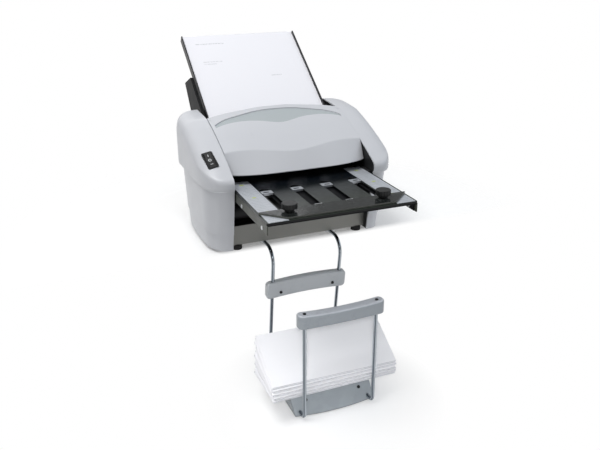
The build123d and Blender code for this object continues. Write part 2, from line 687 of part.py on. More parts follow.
# ------------------------------------------------------------------ feed tray
TRAY_NOSE = 30.0      # how far the tray is a plain sheet, up the slope from its start
TRAY_NOSE_DEPTH = 8.4
TRAY_TAIL = (204.0, 223.0)
TRAY_HEEL = (150.0, 152.0)
TRAY_BELLY = (108.0, 152.0)
TRAY_VENT = 14.0      # margin of the opening in the tray's belly
KEY_V = (60.0, 150.0)  # where the guides' keys pass through the tray
KEY_W = 4.0
KEY_L = 6.0
KEY_FOOT = 4.0
KEY_ROOM = 0.5        # how much longer than its travel a key's slot is at each end
GUIDE_PLAY = 0.35     # gap between the sheets and each guide
GUIDE_FLANGE = 12.0
GUIDE_X = SHEET_W / 2 + GUIDE_PLAY
KEY_X = GUIDE_X - GUIDE_FLANGE + KEY_FOOT / 2


def slope_yz(along, above):
    """A point of the feed slope in the YZ plane."""
    point = feed_point(along, above)
    return (point.Y, point.Z)


with BuildPart() as feed_tray:
    with BuildSketch(Plane.YZ):
        with BuildLine():
            Polyline(
                slope_yz(TRAY_START, 0), slope_yz(TRAY_REACH, 0), TRAY_TAIL, TRAY_HEEL, TRAY_BELLY,
                slope_yz(TRAY_NOSE, -TRAY_NOSE_DEPTH), slope_yz(TRAY_START, -TRAY_WALL), close=True
            )
        make_face()
    extrude(amount=TRAY_HALF, both=True)
    with BuildSketch(Plane.YZ):
        with BuildLine():
            Polyline(
                slope_yz(TRAY_NOSE + 6, -TRAY_WALL),
                slope_yz(TRAY_REACH - 3, -TRAY_WALL),
                (TRAY_TAIL[0] - 4, TRAY_TAIL[1] - 1.4),
                (TRAY_HEEL[0] - 1, TRAY_HEEL[1] + TRAY_WALL),
                (TRAY_BELLY[0] - 0.5, TRAY_BELLY[1] + TRAY_WALL),
                slope_yz(TRAY_NOSE + 6, -TRAY_NOSE_DEPTH - 0.6),
                close=True
            )
        make_face()
    extrude(amount=TRAY_HALF - TRAY_WALL, both=True, mode=Mode.SUBTRACT)
    vent_x = (TRAY_VENT - TRAY_HALF, TRAY_HALF - TRAY_VENT)
    vent_y = (TRAY_BELLY[0] + 4, TRAY_HEEL[0] - 5)
    block(vent_x, vent_y, (TRAY_BELLY[1] - 1, TRAY_BELLY[1] + 2 * TRAY_WALL), mode=Mode.SUBTRACT)
    for side in (-1, 1):
        for axis in TRAY_BOSSES:
            rod(axis, (side * TRAY_HALF, side * INNER_HALF), BOSS_R)
            rod(axis, (side * TRAY_HALF, side * (INNER_HALF + 1)), TIE_SCREW_R, mode=Mode.SUBTRACT)
        for along in KEY_V:
            slot_x = sorted((side * (KEY_X - KEY_ROOM), side * (KEY_X + KEY_W + GUIDE_TRAVEL + KEY_ROOM)))
            slot_v = (along - KEY_L / 2 - HAIR_GAP, along + KEY_L / 2 + HAIR_GAP)
            feed_block(slot_x, slot_v, (-TRAY_WALL - 1, 1), mode=Mode.SUBTRACT)
keep(feed_tray, "feed_tray")

PAD_T = STACK_LOW - SOFT_GAP
PAD_HALF = 15.0
PAD_REACH = 7.0

with BuildPart() as separator_pad:
    pad_v = (FEED_ROLLER_AT - PAD_REACH, FEED_ROLLER_AT + PAD_REACH)
    feed_block((-PAD_HALF, PAD_HALF), pad_v, (0, PAD_T))
keep(separator_pad, "separator_pad")

GUIDE_START = 30.0
GUIDE_END = 279.0
FLANGE_TOP = HAIR_GAP + GUIDE_FLOOR

with BuildPart() as guide_right:
    run = (GUIDE_START, GUIDE_END)
    feed_block((GUIDE_X, GUIDE_X + GUIDE_WALL), run, (FLANGE_TOP + SEAM_GAP, HAIR_GAP + GUIDE_H))
    feed_block((GUIDE_X - GUIDE_FLANGE, GUIDE_X + GUIDE_WALL), run, (HAIR_GAP, FLANGE_TOP))
    for along in KEY_V:
        length = (along - KEY_L / 2, along + KEY_L / 2)
        foot_run = (length[0] - KEY_FOOT / 2, length[1] + KEY_FOOT / 2)
        foot = (-TRAY_WALL - HAIR_GAP - GUIDE_FLOOR, -TRAY_WALL - HAIR_GAP)
        feed_block((KEY_X, KEY_X + KEY_W), length, (foot[0], HAIR_GAP))
        feed_block((KEY_X - KEY_FOOT, KEY_X + KEY_W), foot_run, foot)
keep(guide_right, "guide_right")

with BuildPart() as guide_left:
    add(mirrored(guide_right))
keep(guide_left, "guide_left")

STACK_START = 2.0

with BuildPart() as paper_stack:
    stack_v = (STACK_START, STACK_START + SHEET_L)
    feed_block((-SHEET_W / 2, SHEET_W / 2), stack_v, (STACK_LOW + HAIR_GAP, STACK_HIGH))
keep(paper_stack, "paper_stack")

# ------------------------------------------------------------------ feed roller and its belt
BELT_X = (-OUTER_FACE - 9.0, -OUTER_FACE - 2.0)
PULLEY_FLANGE = 1.0
DRIVE_PULLEY_R = 10.0
FEED_PULLEY_R = 13.0
PULLEY_RIM = 2.2      # how far a pulley's flanges stand above the belt's seat
BELT_GAP = 0.15
BELT_T = 1.4
SHAFT_STUB = 2.0      # how far a shaft ends beyond its last part
TYRE_W = 26.0
TYRE_X = 60.0
TYRE_BORE = 9.0
SHAFT_END = OUTER_FACE + 0.5

with BuildPart() as feed_roller_shaft:
    rod(FEED_AXIS, (BELT_X[0] - PULLEY_FLANGE - SHAFT_STUB, SHAFT_END), SHAFT_R)
    for x in (-TYRE_X, 0, TYRE_X):
        rod(FEED_AXIS, (x - TYRE_W / 2, x + TYRE_W / 2), TYRE_BORE)
keep(feed_roller_shaft, "feed_roller_shaft")

with BuildPart() as feed_roller_tyres:
    for x in (-TYRE_X, 0, TYRE_X):
        rod(FEED_AXIS, (x - TYRE_W / 2, x + TYRE_W / 2), FEED_ROLLER_R)
        rod(FEED_AXIS, (x - TYRE_W / 2, x + TYRE_W / 2), TYRE_BORE, mode=Mode.SUBTRACT)
keep(feed_roller_tyres, "feed_roller_tyres")


def pulley(axis, radius):
    """A flanged pulley on a shaft, in line with the belt."""
    with BuildPart() as wheel:
        rod(axis, BELT_X, radius)
        for x in (BELT_X[0] - PULLEY_FLANGE, BELT_X[1]):
            rod(axis, (x, x + PULLEY_FLANGE), radius + PULLEY_RIM)
        rod(axis, (BELT_X[0] - PULLEY_FLANGE, BELT_X[1] + PULLEY_FLANGE), SHAFT_R, mode=Mode.SUBTRACT)
    return wheel.part


with BuildPart() as feed_pulley:
    add(pulley(FEED_AXIS, FEED_PULLEY_R))
keep(feed_pulley, "feed_pulley")

with BuildPart() as drive_pulley:
    add(pulley(ROLLER_AXES[0], DRIVE_PULLEY_R))
keep(drive_pulley, "drive_pulley")


with BuildPart() as timing_belt:
    for extra, mode in ((BELT_GAP + BELT_T, Mode.ADD), (BELT_GAP, Mode.SUBTRACT)):
        with BuildSketch(side_plane(BELT_X[0] + SOFT_GAP)):
            with Locations(ROLLER_AXES[0]):
                Circle(DRIVE_PULLEY_R + extra)
            with Locations(FEED_AXIS):
                Circle(FEED_PULLEY_R + extra)
            make_hull()
        extrude(amount=BELT_X[1] - BELT_X[0] - 2 * SOFT_GAP, mode=mode)
keep(timing_belt, "timing_belt")

# ------------------------------------------------------------------ fold rollers, gears and motor
PRESSURE_ANGLE = 20.0
BACKLASH = 0.12
FLANK_STEPS = 4
GEAR_HUB_R = 8.0


def involute(radius, base):
    """The involute angle, in radians, at a radius."""
    return sqrt((radius / base) ** 2 - 1) - atan2(sqrt(radius**2 - base**2), base)


def gear_outline(teeth, phase):
    """Draws a spur gear's outline with the middle of one tooth at phase degrees."""
    pitch = MODULE * teeth / 2
    base = pitch * cos(radians(PRESSURE_ANGLE))
    tip = pitch + MODULE
    root = pitch - 1.25 * MODULE
    half = pi / (2 * teeth) - BACKLASH / (2 * pitch) + involute(pitch, base)
    start = max(base, root)
    flank = [start + (tip - start) * step / FLANK_STEPS for step in range(FLANK_STEPS + 1)]
    side = [(root, half)] if root < base else []
    side += [(radius, half - involute(radius, base)) for radius in flank]
    points = []
    for tooth in range(teeth):
        middle = radians(phase) + 2 * pi * tooth / teeth
        for radius, angle in side:
            points.append((radius * cos(middle - angle), radius * sin(middle - angle)))
        for radius, angle in reversed(side):
            points.append((radius * cos(middle + angle), radius * sin(middle + angle)))
    Polyline(*points, close=True)


def gear(axis, teeth, phase, x, bore):
    """A spur gear on an axis, between two limits along X."""
    with BuildPart() as wheel:
        with BuildSketch(Plane((x[0], *axis), x_dir=(0, 1, 0), z_dir=(1, 0, 0))):
            with BuildLine():
                gear_outline(teeth, phase)
            make_face()
            Circle(bore, mode=Mode.SUBTRACT)
        extrude(amount=x[1] - x[0])
    return wheel.part


def meshed_phase(phase, teeth, next_teeth, direction):
    """Phase of a gear that meshes with another one lying in a direction from it."""
    ahead = (phase - direction) % (360 / teeth)
    return direction + 180 + 180 / next_teeth - ahead * teeth / next_teeth


GEAR_SPAN = (GEAR_X, GEAR_X + GEAR_FACE)
phases = [0.0]
for previous, following in zip(ROLLER_AXES, ROLLER_AXES[1:]):
    direction = degrees(atan2(following[1] - previous[1], following[0] - previous[0]))
    phases.append(meshed_phase(phases[-1], GEAR_TEETH, GEAR_TEETH, direction))
idler_phase = meshed_phase(phases[1], GEAR_TEETH, IDLER_TEETH, IDLER_DIRECTION)
pinion_phase = meshed_phase(idler_phase, IDLER_TEETH, PINION_TEETH, PINION_DIRECTION)

for number, (axis, phase) in enumerate(zip(ROLLER_AXES, phases), start=1):
    left_end = BELT_X[0] - PULLEY_FLANGE - SHAFT_STUB if number == 1 else -SHAFT_END
    with BuildPart() as fold_roller:
        rod(axis, (-ROLLER_HALF, ROLLER_HALF), ROLLER_R)
        rod(axis, (left_end, GEAR_SPAN[1] + SHAFT_STUB), SHAFT_R)
    keep(fold_roller, f"fold_roller_{number}")
    with BuildPart() as roller_gear:
        add(gear(axis, GEAR_TEETH, phase, GEAR_SPAN, SHAFT_R))
    keep(roller_gear, f"roller_gear_{number}")

with BuildPart() as idler_gear:
    add(gear(IDLER_AXIS, IDLER_TEETH, idler_phase, GEAR_SPAN, SHAFT_R + RUN_FIT))
keep(idler_gear, "idler_gear")

with BuildPart() as idler_stud:
    rod(IDLER_AXIS, (INNER_HALF, GEAR_SPAN[1] + SOFT_GAP), SHAFT_R)
    rod(IDLER_AXIS, (OUTER_FACE, GEAR_SPAN[0] - SOFT_GAP), GEAR_HUB_R)
    rod(IDLER_AXIS, (GEAR_SPAN[1] + SOFT_GAP, GEAR_SPAN[1] + SHAFT_STUB), GEAR_HUB_R)
keep(idler_stud, "idler_stud")

MOTOR_SHAFT_R = 3.0
MOTOR_FLANGE_T = 2.0
MOTOR_FLANGE = 56.0
MOTOR_BORE_L = 20.0

with BuildPart() as motor_body:
    flange_x = INNER_HALF - MOTOR_FLANGE_T
    rod(MOTOR_AXIS, (flange_x - MOTOR_L, flange_x), MOTOR_R)
    y, z = MOTOR_AXIS
    reach = MOTOR_FLANGE / 2
    block((flange_x, INNER_HALF), (y - reach, y + reach), (z - reach, z + reach))
    rod(MOTOR_AXIS, (INNER_HALF, OUTER_FACE), MOTOR_HUB_R)
    bore = (INNER_HALF - MOTOR_BORE_L, OUTER_FACE + 1)
    rod(MOTOR_AXIS, bore, MOTOR_SHAFT_R + RUN_FIT, mode=Mode.SUBTRACT)
keep(motor_body, "motor_body")

with BuildPart() as motor_shaft:
    rod(MOTOR_AXIS, (INNER_HALF - MOTOR_BORE_L + 0.5, GEAR_SPAN[1] + SHAFT_STUB), MOTOR_SHAFT_R)
keep(motor_shaft, "motor_shaft")

with BuildPart() as motor_pinion:
    add(gear(MOTOR_AXIS, PINION_TEETH, pinion_phase, GEAR_SPAN, MOTOR_SHAFT_R))
keep(motor_pinion, "motor_pinion")

BUSH_FLANGE_R = 8.0
BUSH_FLANGE_T = 1.0

with BuildPart() as roller_bushes:
    for side in (-1, 1):
        for axis in ROLLER_AXES + (FEED_AXIS,):
            inner = side * (INNER_HALF - BUSH_FLANGE_T)
            rod(axis, (side * INNER_HALF, side * OUTER_FACE), BUSH_R)
            rod(axis, (inner, side * INNER_HALF), BUSH_FLANGE_R)
            rod(axis, (inner, side * OUTER_FACE), SHAFT_R + RUN_FIT, mode=Mode.SUBTRACT)
keep(roller_bushes, "roller_bushes")

# ------------------------------------------------------------------ second fold plate, inside
PLATE2_Y = -35.0
PLATE2_Z = 70.0
PLATE2_ANGLE = -38.0
PLATE2_L = 86.0
PLATE2_SHEET = 1.2
PLATE2_MOUTH = 8.0    # length of the open mouth at the rollers
plate2_tilt = Plane((0, PLATE2_Y, PLATE2_Z)).rotated((PLATE2_ANGLE, 0, 0))

with BuildPart() as rear_fold_plate:
    with Locations(plate2_tilt * Pos(0, PLATE2_L / 2, 0)):
        Box(2 * INNER_HALF, PLATE2_L, POCKET + 2 * PLATE2_SHEET)
        Box(2 * ROLLER_HALF, PLATE2_L - 6, POCKET, mode=Mode.SUBTRACT)
    with Locations(plate2_tilt * Pos(0, PLATE2_MOUTH / 2 - 1, 0)):
        Box(2 * ROLLER_HALF, PLATE2_MOUTH, POCKET, mode=Mode.SUBTRACT)
keep(rear_fold_plate, "rear_fold_plate")

# ------------------------------------------------------------------ fold table
FLANGE_IN = TABLE_HALF - RAIL_T - LOWER_PLATE_T
SLOT_MIDDLE = (SLOT_FRONT + SLOT_REAR) / 2
SLOT_LENGTH = SLOT_REAR - SLOT_FRONT
STEM_SLOT_W = 9.0
RIVET_Y = (-138.0, -229.5)
RIVET_Z = 98.0
RIVET_R = 1.6
RIVET_HEAD_R = 3.0
RIVET_HEAD_H = 0.8

with BuildPart() as table_top_plate:
    block((-TABLE_HALF, TABLE_HALF), (TABLE_FRONT, TABLE_REAR), (TOP_PLATE_Z, TABLE_TOP))
    with BuildSketch(Plane.XY.offset(TABLE_TOP)):
        with Locations([(x, SLOT_MIDDLE) for x in FLANK_SLOTS]):
            SlotOverall(SLOT_LENGTH, SLOT_W, rotation=90)
    extrude(amount=-TOP_PLATE_T, mode=Mode.SUBTRACT)
    corner_edges = table_top_plate.edges().filter_by(Axis.Z).group_by(Axis.Y)[0]
    fillet(corner_edges, 2.0)
keep(table_top_plate, "table_top_plate")

with BuildPart() as table_lower_plate:
    lower_y = (TABLE_FRONT + FRONT_BAR_T, LOWER_PLATE_REAR)
    block((-RAIL_IN, RAIL_IN), lower_y, (LOWER_PLATE_Z, POCKET_Z))
    for side in (-1, 1):
        flange = sorted((side * FLANGE_IN, side * RAIL_IN))
        block(flange, lower_y, (RAIL_Z, POCKET_Z))
        for y in RIVET_Y:
            rod((y, RIVET_Z), flange, RIVET_R, mode=Mode.SUBTRACT)
    with BuildSketch(Plane.XY.offset(POCKET_Z)):
        with Locations((-SLOT_OUT, SLOT_MIDDLE), (SLOT_OUT, SLOT_MIDDLE)):
            SlotOverall(SLOT_LENGTH, STEM_SLOT_W, rotation=90)
    extrude(amount=-LOWER_PLATE_T, mode=Mode.SUBTRACT)
keep(table_lower_plate, "table_lower_plate")

with BuildPart() as table_rails:
    for side in (-1, 1):
        strip = sorted((side * RAIL_IN, side * TABLE_HALF))
        block(strip, (TABLE_FRONT, RAIL_REAR), (RAIL_Z, TOP_PLATE_Z))
        for y in RIVET_Y:
            rod((y, RIVET_Z), strip, RIVET_R, mode=Mode.SUBTRACT)
keep(table_rails, "table_rails")

with BuildPart() as table_front_bar:
    bar_y = (TABLE_FRONT, TABLE_FRONT + FRONT_BAR_T)
    block((-RAIL_IN, RAIL_IN), bar_y, (POCKET_Z, TOP_PLATE_Z))
keep(table_front_bar, "table_front_bar")

with BuildPart() as scale_labels:
    for side in (-1, 1):
        strip = sorted((side * LABEL_IN, side * LABEL_OUT))
        block(strip, (TABLE_FRONT + 1, TABLE_REAR - 20), (TABLE_TOP, TABLE_TOP + LABEL_T))
keep(scale_labels, "scale_labels")

with BuildPart() as table_rivets:
    for side in (-1, 1):
        for y in RIVET_Y:
            rod((y, RIVET_Z), (side * FLANGE_IN, side * TABLE_HALF), RIVET_R)
            for face, way in ((FLANGE_IN, -1), (TABLE_HALF, 1)):
                rod((y, RIVET_Z), (side * face, side * (face + way * RIVET_HEAD_H)), RIVET_HEAD_R)
keep(table_rivets, "table_rivets")

CLIP_L = 12.0
CLIP_INSET = 10.0     # from the slot's rear end
CLIP_LAP = 1.0
CLIP_T = 0.5

with BuildPart() as slot_clips:
    for x in FLANK_SLOTS:
        clip_y = (SLOT_REAR - CLIP_INSET - CLIP_L, SLOT_REAR - CLIP_INSET)
        block((x - SLOT_W / 2, x + SLOT_W / 2), clip_y, (TOP_PLATE_Z, TABLE_TOP))
        lap = (x - SLOT_W / 2 - CLIP_LAP, x + SLOT_W / 2 + CLIP_LAP)
        block(lap, clip_y, (TABLE_TOP, TABLE_TOP + CLIP_T))
keep(slot_clips, "slot_clips")

RUNNER_T = 1.8
RUNNER_FRONT = -98.0
RUNNER_IN = TABLE_HALF - 5.0
RUNNER_LIP_IN = TABLE_HALF - 2.6

with BuildPart() as table_runners:
    for side in (-1, 1):
        run = (RUNNER_FRONT, RAIL_REAR)
        ledge = (RAIL_Z - HAIR_GAP - RUNNER_T, RAIL_Z - HAIR_GAP)
        lip = (TABLE_TOP + HAIR_GAP, TABLE_TOP + HAIR_GAP + RUNNER_T)
        block(sorted((side * RUNNER_IN, side * INNER_HALF)), run, ledge)
        block(sorted((side * (TABLE_HALF + HAIR_GAP), side * INNER_HALF)), run, (ledge[0], lip[1]))
        block(sorted((side * RUNNER_LIP_IN, side * INNER_HALF)), run, lip)
keep(table_runners, "table_runners")

# ------------------------------------------------------------------ stop bar with its knobs
STOP_HALF = TABLE_HALF - 1.0
STOP_CORNER_X = LABEL_IN
FINGER_W = 12.0
FINGER_T = 1.5
FINGER_FOOT = 8.0
STEM_R = 3.0
STEM_END_Z = 96.5
NECK_R = 7.0
NECK_H = 4.6
NUT_W = 16.0
NUT_L = 14.0
NUT_H = 5.0
FLUTES = 16
FLUTE_R = 1.1

with BuildPart() as stop_bar:
    with BuildSketch(Plane.XY.offset(STOP_Z)):
        with BuildLine():
            Polyline(
                (-STOP_HALF, STOP_REAR), (-STOP_HALF, STOP_REAR - 2), (-STOP_CORNER_X, STOP_FRONT),
                (STOP_CORNER_X, STOP_FRONT), (STOP_HALF, STOP_REAR - 2), (STOP_HALF, STOP_REAR), close=True
            )
        make_face()
        with Locations((-SLOT_OUT, KNOB_Y), (SLOT_OUT, KNOB_Y)):
            Circle(STEM_R + PIN_FIT, mode=Mode.SUBTRACT)
    extrude(amount=STOP_T)
keep(stop_bar, "stop_bar")

with BuildPart() as stop_fingers:
    for x in FLANK_SLOTS:
        across = (x - FINGER_W / 2, x + FINGER_W / 2)
        block(across, (STOP_REAR, STOP_REAR + FINGER_T), (POCKET_Z + SOFT_GAP, STOP_Z + STOP_T))
        block(across, (STOP_REAR - FINGER_FOOT, STOP_REAR + FINGER_T), (STOP_Z - FINGER_T, STOP_Z))
keep(stop_fingers, "stop_fingers")


def knob(x):
    """A clamp knob: fluted cap, neck and stem."""
    neck_z = STOP_Z + STOP_T + HAIR_GAP
    cap_z = neck_z + NECK_H
    with BuildPart() as form:
        post(x, KNOB_Y, (STEM_END_Z, neck_z), STEM_R)
        post(x, KNOB_Y, (neck_z, cap_z), NECK_R)
        post(x, KNOB_Y, (cap_z, cap_z + KNOB_H - NECK_H), KNOB_R)
        fillet(form.faces().sort_by(Axis.Z)[-1].edges(), 1.2)
        with Locations((x, KNOB_Y, cap_z + (KNOB_H - NECK_H) / 2)):
            with PolarLocations(KNOB_R + FLUTE_R / 2, FLUTES):
                Cylinder(FLUTE_R, KNOB_H, mode=Mode.SUBTRACT)
    return form.part


with BuildPart() as knob_left:
    add(knob(-SLOT_OUT))
keep(knob_left, "knob_left")

with BuildPart() as knob_right:
    add(knob(SLOT_OUT))
keep(knob_right, "knob_right")

with BuildPart() as clamp_nuts:
    nut_top = LOWER_PLATE_Z - HAIR_GAP
    for x in (-SLOT_OUT, SLOT_OUT):
        nut_y = (KNOB_Y - NUT_L / 2, KNOB_Y + NUT_L / 2)
        block((x - NUT_W / 2, x + NUT_W / 2), nut_y, (nut_top - NUT_H, nut_top))
        post(x, KNOB_Y, (nut_top - NUT_H, nut_top), STEM_R + PIN_FIT, mode=Mode.SUBTRACT)
keep(clamp_nuts, "clamp_nuts")

# ------------------------------------------------------------------ catch tray for the folded letters
CLIP_W = 14.0
CLIP_Y = (-60.0, 0.0)
CLIP_DEPTH = 12.0
CLIP_LOW = 1.2
BACK_BAR_DEPTH = 12.0
BACK_BAR_H = 31.0
BACK_BAR_ARCH = 4.0
BACK_BAR_ROUND = 7.0
BAR_EDGE_ROUND = 3.0
BACK_SCREW_DROP = 3.0
BAR_SCREW_X = ROD_X - 13.0
TOP_BAR_Y = (-252.0, -233.0)
TOP_BAR_LOW = -66.0
TOP_BAR_DIP = 3.5
TOP_BAR_SAG = 1.5
TOP_BAR_ROUND = 8.0
ROD_SOCKET_END = FRONT_BAR_TOP - 12.0
HEAD_SEAT_Z = FRONT_BAR_TOP - 1.6
FLOOR_HALF = BAR_HALF - 1.5
FLOOR_LOW = -235.0
FLOOR_POCKET = ROD_X - 8.0
PAN_R = 2.6
PAN_H = 1.4
PAN_SHANK = 9.0
PAN_SHANK_R = 1.4

rod_corners = [
    Vector(ROD_X, *yz) for yz in (
        (ROD_TAIL_Y, ROD_DESK_Z), (ROD_TOP_Y, ROD_DESK_Z), (ROD_BACK_Y, ROD_FLOOR_Z),
        (ROD_FRONT_Y, ROD_FLOOR_Z), (ROD_FRONT_Y, ROD_SOCKET_END),
    )
]

with BuildPart() as catch_rods:
    with BuildLine() as rod_path:
        last = rod_corners[0]
        bends = (ROD_BEND, ROD_CORNER, ROD_CORNER)
        for before, corner, after, bend in zip(rod_corners, rod_corners[1:], rod_corners[2:], bends):
            back = (before - corner).normalized()
            ahead = (after - corner).normalized()
            half = radians(back.get_angle(ahead)) / 2
            start = corner + back * (bend / tan(half))
            end = corner + ahead * (bend / tan(half))
            middle = corner + (back + ahead).normalized() * (bend / sin(half) - bend)
            Line(last, start)
            ThreePointArc(start, middle, end)
            last = end
        Line(last, rod_corners[-1])
    with BuildSketch(Plane(rod_corners[0], z_dir=(0, -1, 0))):
        Circle(ROD_R)
    sweep(path=rod_path.wires()[0])
    mirror(about=Plane.YZ)
keep(catch_rods, "catch_rods")

with BuildPart() as rod_clips:
    for x in (-ROD_X, ROD_X):
        for y in CLIP_Y:
            across = (y - CLIP_DEPTH / 2, y + CLIP_DEPTH / 2)
            block((x - CLIP_W / 2, x + CLIP_W / 2), across, (CLIP_LOW, BASE_Z))
            slot = (x - ROD_R - HAIR_GAP, x + ROD_R + HAIR_GAP)
            block(slot, across, (CLIP_LOW, ROD_DESK_Z), mode=Mode.SUBTRACT)
            with Locations(Plane((x, y, ROD_DESK_Z), z_dir=(0, 1, 0))):
                Cylinder(ROD_R + HAIR_GAP, CLIP_DEPTH, mode=Mode.SUBTRACT)
keep(rod_clips, "rod_clips")

# the back bar's plane follows the leaning rear stretch of the rods
rod_drop = rod_corners[2] - rod_corners[1]
back_bar_share = (BACK_BAR_Z - rod_corners[1].Z) / rod_drop.Z
back_bar_middle = rod_corners[1] + rod_drop * back_bar_share
back_bar_plane = Plane(
    (0, back_bar_middle.Y, back_bar_middle.Z), x_dir=(1, 0, 0), z_dir=(0, rod_drop.Z, -rod_drop.Y)
)

with BuildPart() as catch_back_bar:
    with BuildSketch(back_bar_plane):
        with BuildLine():
            rise = BACK_BAR_H / 2
            Polyline((BAR_HALF, rise), (BAR_HALF, -rise))
            ThreePointArc((BAR_HALF, -rise), (0, BACK_BAR_ARCH - rise), (-BAR_HALF, -rise))
            Polyline((-BAR_HALF, -rise), (-BAR_HALF, rise))
            ThreePointArc((-BAR_HALF, rise), (0, rise + BACK_BAR_ARCH), (BAR_HALF, rise))
        make_face()
        fillet(vertices(), BACK_BAR_ROUND)
    extrude(amount=BACK_BAR_DEPTH / 2, both=True)
    flats = catch_back_bar.faces().filter_by(GeomType.PLANE).sort_by(Axis.Y)
    fillet(flats[0].edges() + flats[-1].edges(), BAR_EDGE_ROUND)
    for x in (-ROD_X, ROD_X):
        with Locations(back_bar_plane * Pos(x, 0, 0) * Rot(90, 0, 0)):
            Cylinder(ROD_R, BACK_BAR_H + 2 * BACK_BAR_ARCH, mode=Mode.SUBTRACT)
    for x in (-BAR_SCREW_X, BAR_SCREW_X):
        with Locations(back_bar_plane * Pos(x, -BACK_SCREW_DROP, (BACK_BAR_DEPTH - PAN_SHANK) / 2)):
            Cylinder(PAN_SHANK_R, PAN_SHANK, mode=Mode.SUBTRACT)
keep(catch_back_bar, "catch_back_bar")

with BuildPart() as catch_front_bar:
    with BuildSketch(Plane.XZ.offset(-TOP_BAR_Y[1])):
        with BuildLine():
            ThreePointArc(
                (-BAR_HALF, FRONT_BAR_TOP), (0, FRONT_BAR_TOP - TOP_BAR_DIP), (BAR_HALF, FRONT_BAR_TOP)
            )
            Line((BAR_HALF, FRONT_BAR_TOP), (BAR_HALF, TOP_BAR_LOW))
            ThreePointArc(
                (BAR_HALF, TOP_BAR_LOW), (0, TOP_BAR_LOW - TOP_BAR_SAG), (-BAR_HALF, TOP_BAR_LOW)
            )
            Line((-BAR_HALF, TOP_BAR_LOW), (-BAR_HALF, FRONT_BAR_TOP))
        make_face()
    extrude(amount=TOP_BAR_Y[1] - TOP_BAR_Y[0])
    fillet(catch_front_bar.edges().filter_by(Axis.Z), TOP_BAR_ROUND)
    ends = catch_front_bar.faces().sort_by(Axis.Z)
    fillet(ends[0].edges() + ends[-1].edges(), BAR_EDGE_ROUND)
    for x in (-ROD_X, ROD_X):
        post(x, ROD_FRONT_Y, (TOP_BAR_LOW - 2, ROD_SOCKET_END), ROD_R, mode=Mode.SUBTRACT)
        post(x, ROD_FRONT_Y, (HEAD_SEAT_Z - PAN_SHANK, HEAD_SEAT_Z), PAN_SHANK_R, mode=Mode.SUBTRACT)
        post(x, ROD_FRONT_Y, (HEAD_SEAT_Z, FRONT_BAR_TOP), PAN_R + SOFT_GAP, mode=Mode.SUBTRACT)
keep(catch_front_bar, "catch_front_bar")

FLOOR_FACE = ((-236.0, FLOOR_LOW), (-206.0, -201.0))
FLOOR_BOW = 7.0       # how much further back the face's corners stand than its middle
FLOOR_TOP_Y = (-201.0, -142.0)
FLOOR_REAR = (-130.0, -206.0)
FLOOR_SKIN = 5.0
FLOOR_SCREW = 0.53    # share of the way up the inclined face
FLOOR_HOLE = (-245.0, -125.0)
face_run = Vector(0, FLOOR_FACE[1][0] - FLOOR_FACE[0][0], FLOOR_FACE[1][1] - FLOOR_FACE[0][1])
bow_radius = (FLOOR_HALF**2 + FLOOR_BOW**2) / (2 * FLOOR_BOW)


def floor_seat(x):
    """The plane under a screw's head on the floor's bowed and inclined face."""
    turn = asin(x / bow_radius)
    y = FLOOR_FACE[0][0] + face_run.Y * FLOOR_SCREW + bow_radius * (1 - cos(turn))
    z = FLOOR_LOW + face_run.Z * FLOOR_SCREW
    return Plane((x, y, z), z_dir=Vector(cos(turn), sin(turn), 0).cross(face_run))


with BuildPart() as catch_floor:
    with BuildSketch(Plane.YZ):
        with BuildLine():
            Polyline(
                *FLOOR_FACE, *[(y, FLOOR_TOP) for y in FLOOR_TOP_Y], FLOOR_REAR,
                (FLOOR_REAR[0], FLOOR_LOW), close=True
            )
        make_face()
    extrude(amount=FLOOR_HALF, both=True)
    with BuildSketch(Plane.XY.offset(FLOOR_LOW)):
        with BuildLine():
            front = FLOOR_FACE[0][0]
            corner = (FLOOR_HALF, front + FLOOR_BOW)
            ThreePointArc((-corner[0], corner[1]), (0, front), corner)
            rear = FLOOR_REAR[0]
            Polyline(corner, (FLOOR_HALF, rear), (-FLOOR_HALF, rear), (-corner[0], corner[1]))
        make_face()
    extrude(amount=2 * face_run.length, dir=face_run.normalized(), mode=Mode.INTERSECT)
    with BuildSketch(Plane.YZ):
        with BuildLine():
            front = FLOOR_TOP_Y[0] - 2
            rear = FLOOR_REAR[0] - FLOOR_SKIN
            roof = FLOOR_TOP - FLOOR_SKIN
            Polyline((front, FLOOR_LOW), (front, roof), (rear, roof), (rear, FLOOR_LOW), close=True)
        make_face()
    extrude(amount=FLOOR_POCKET, both=True, mode=Mode.SUBTRACT)
    for x in (-ROD_X, ROD_X):
        with Locations(Plane((x, sum(FLOOR_HOLE) / 2, ROD_FLOOR_Z), z_dir=(0, 1, 0))):
            Cylinder(ROD_R, FLOOR_HOLE[1] - FLOOR_HOLE[0], mode=Mode.SUBTRACT)
    for x in (-BAR_SCREW_X, BAR_SCREW_X):
        with Locations(floor_seat(x) * Pos(0, 0, -PAN_SHANK / 2)):
            Cylinder(PAN_SHANK_R, PAN_SHANK, mode=Mode.SUBTRACT)
keep(catch_floor, "catch_floor")


def pan_screw(seat):
    """A pan-head screw whose head rests on a plane."""
    with Locations(seat * Pos(0, 0, -PAN_SHANK / 2)):
        Cylinder(PAN_SHANK_R, PAN_SHANK)
    with Locations(seat * Pos(0, 0, PAN_H / 2)):
        Cylinder(PAN_R, PAN_H)


with BuildPart() as catch_screws:
    for x in (-BAR_SCREW_X, BAR_SCREW_X):
        pan_screw(back_bar_plane * Pos(x, -BACK_SCREW_DROP, BACK_BAR_DEPTH / 2))
        pan_screw(floor_seat(x))
    for x in (-ROD_X, ROD_X):
        pan_screw(Plane((x, ROD_FRONT_Y, HEAD_SEAT_Z)))
keep(catch_screws, "catch_screws")

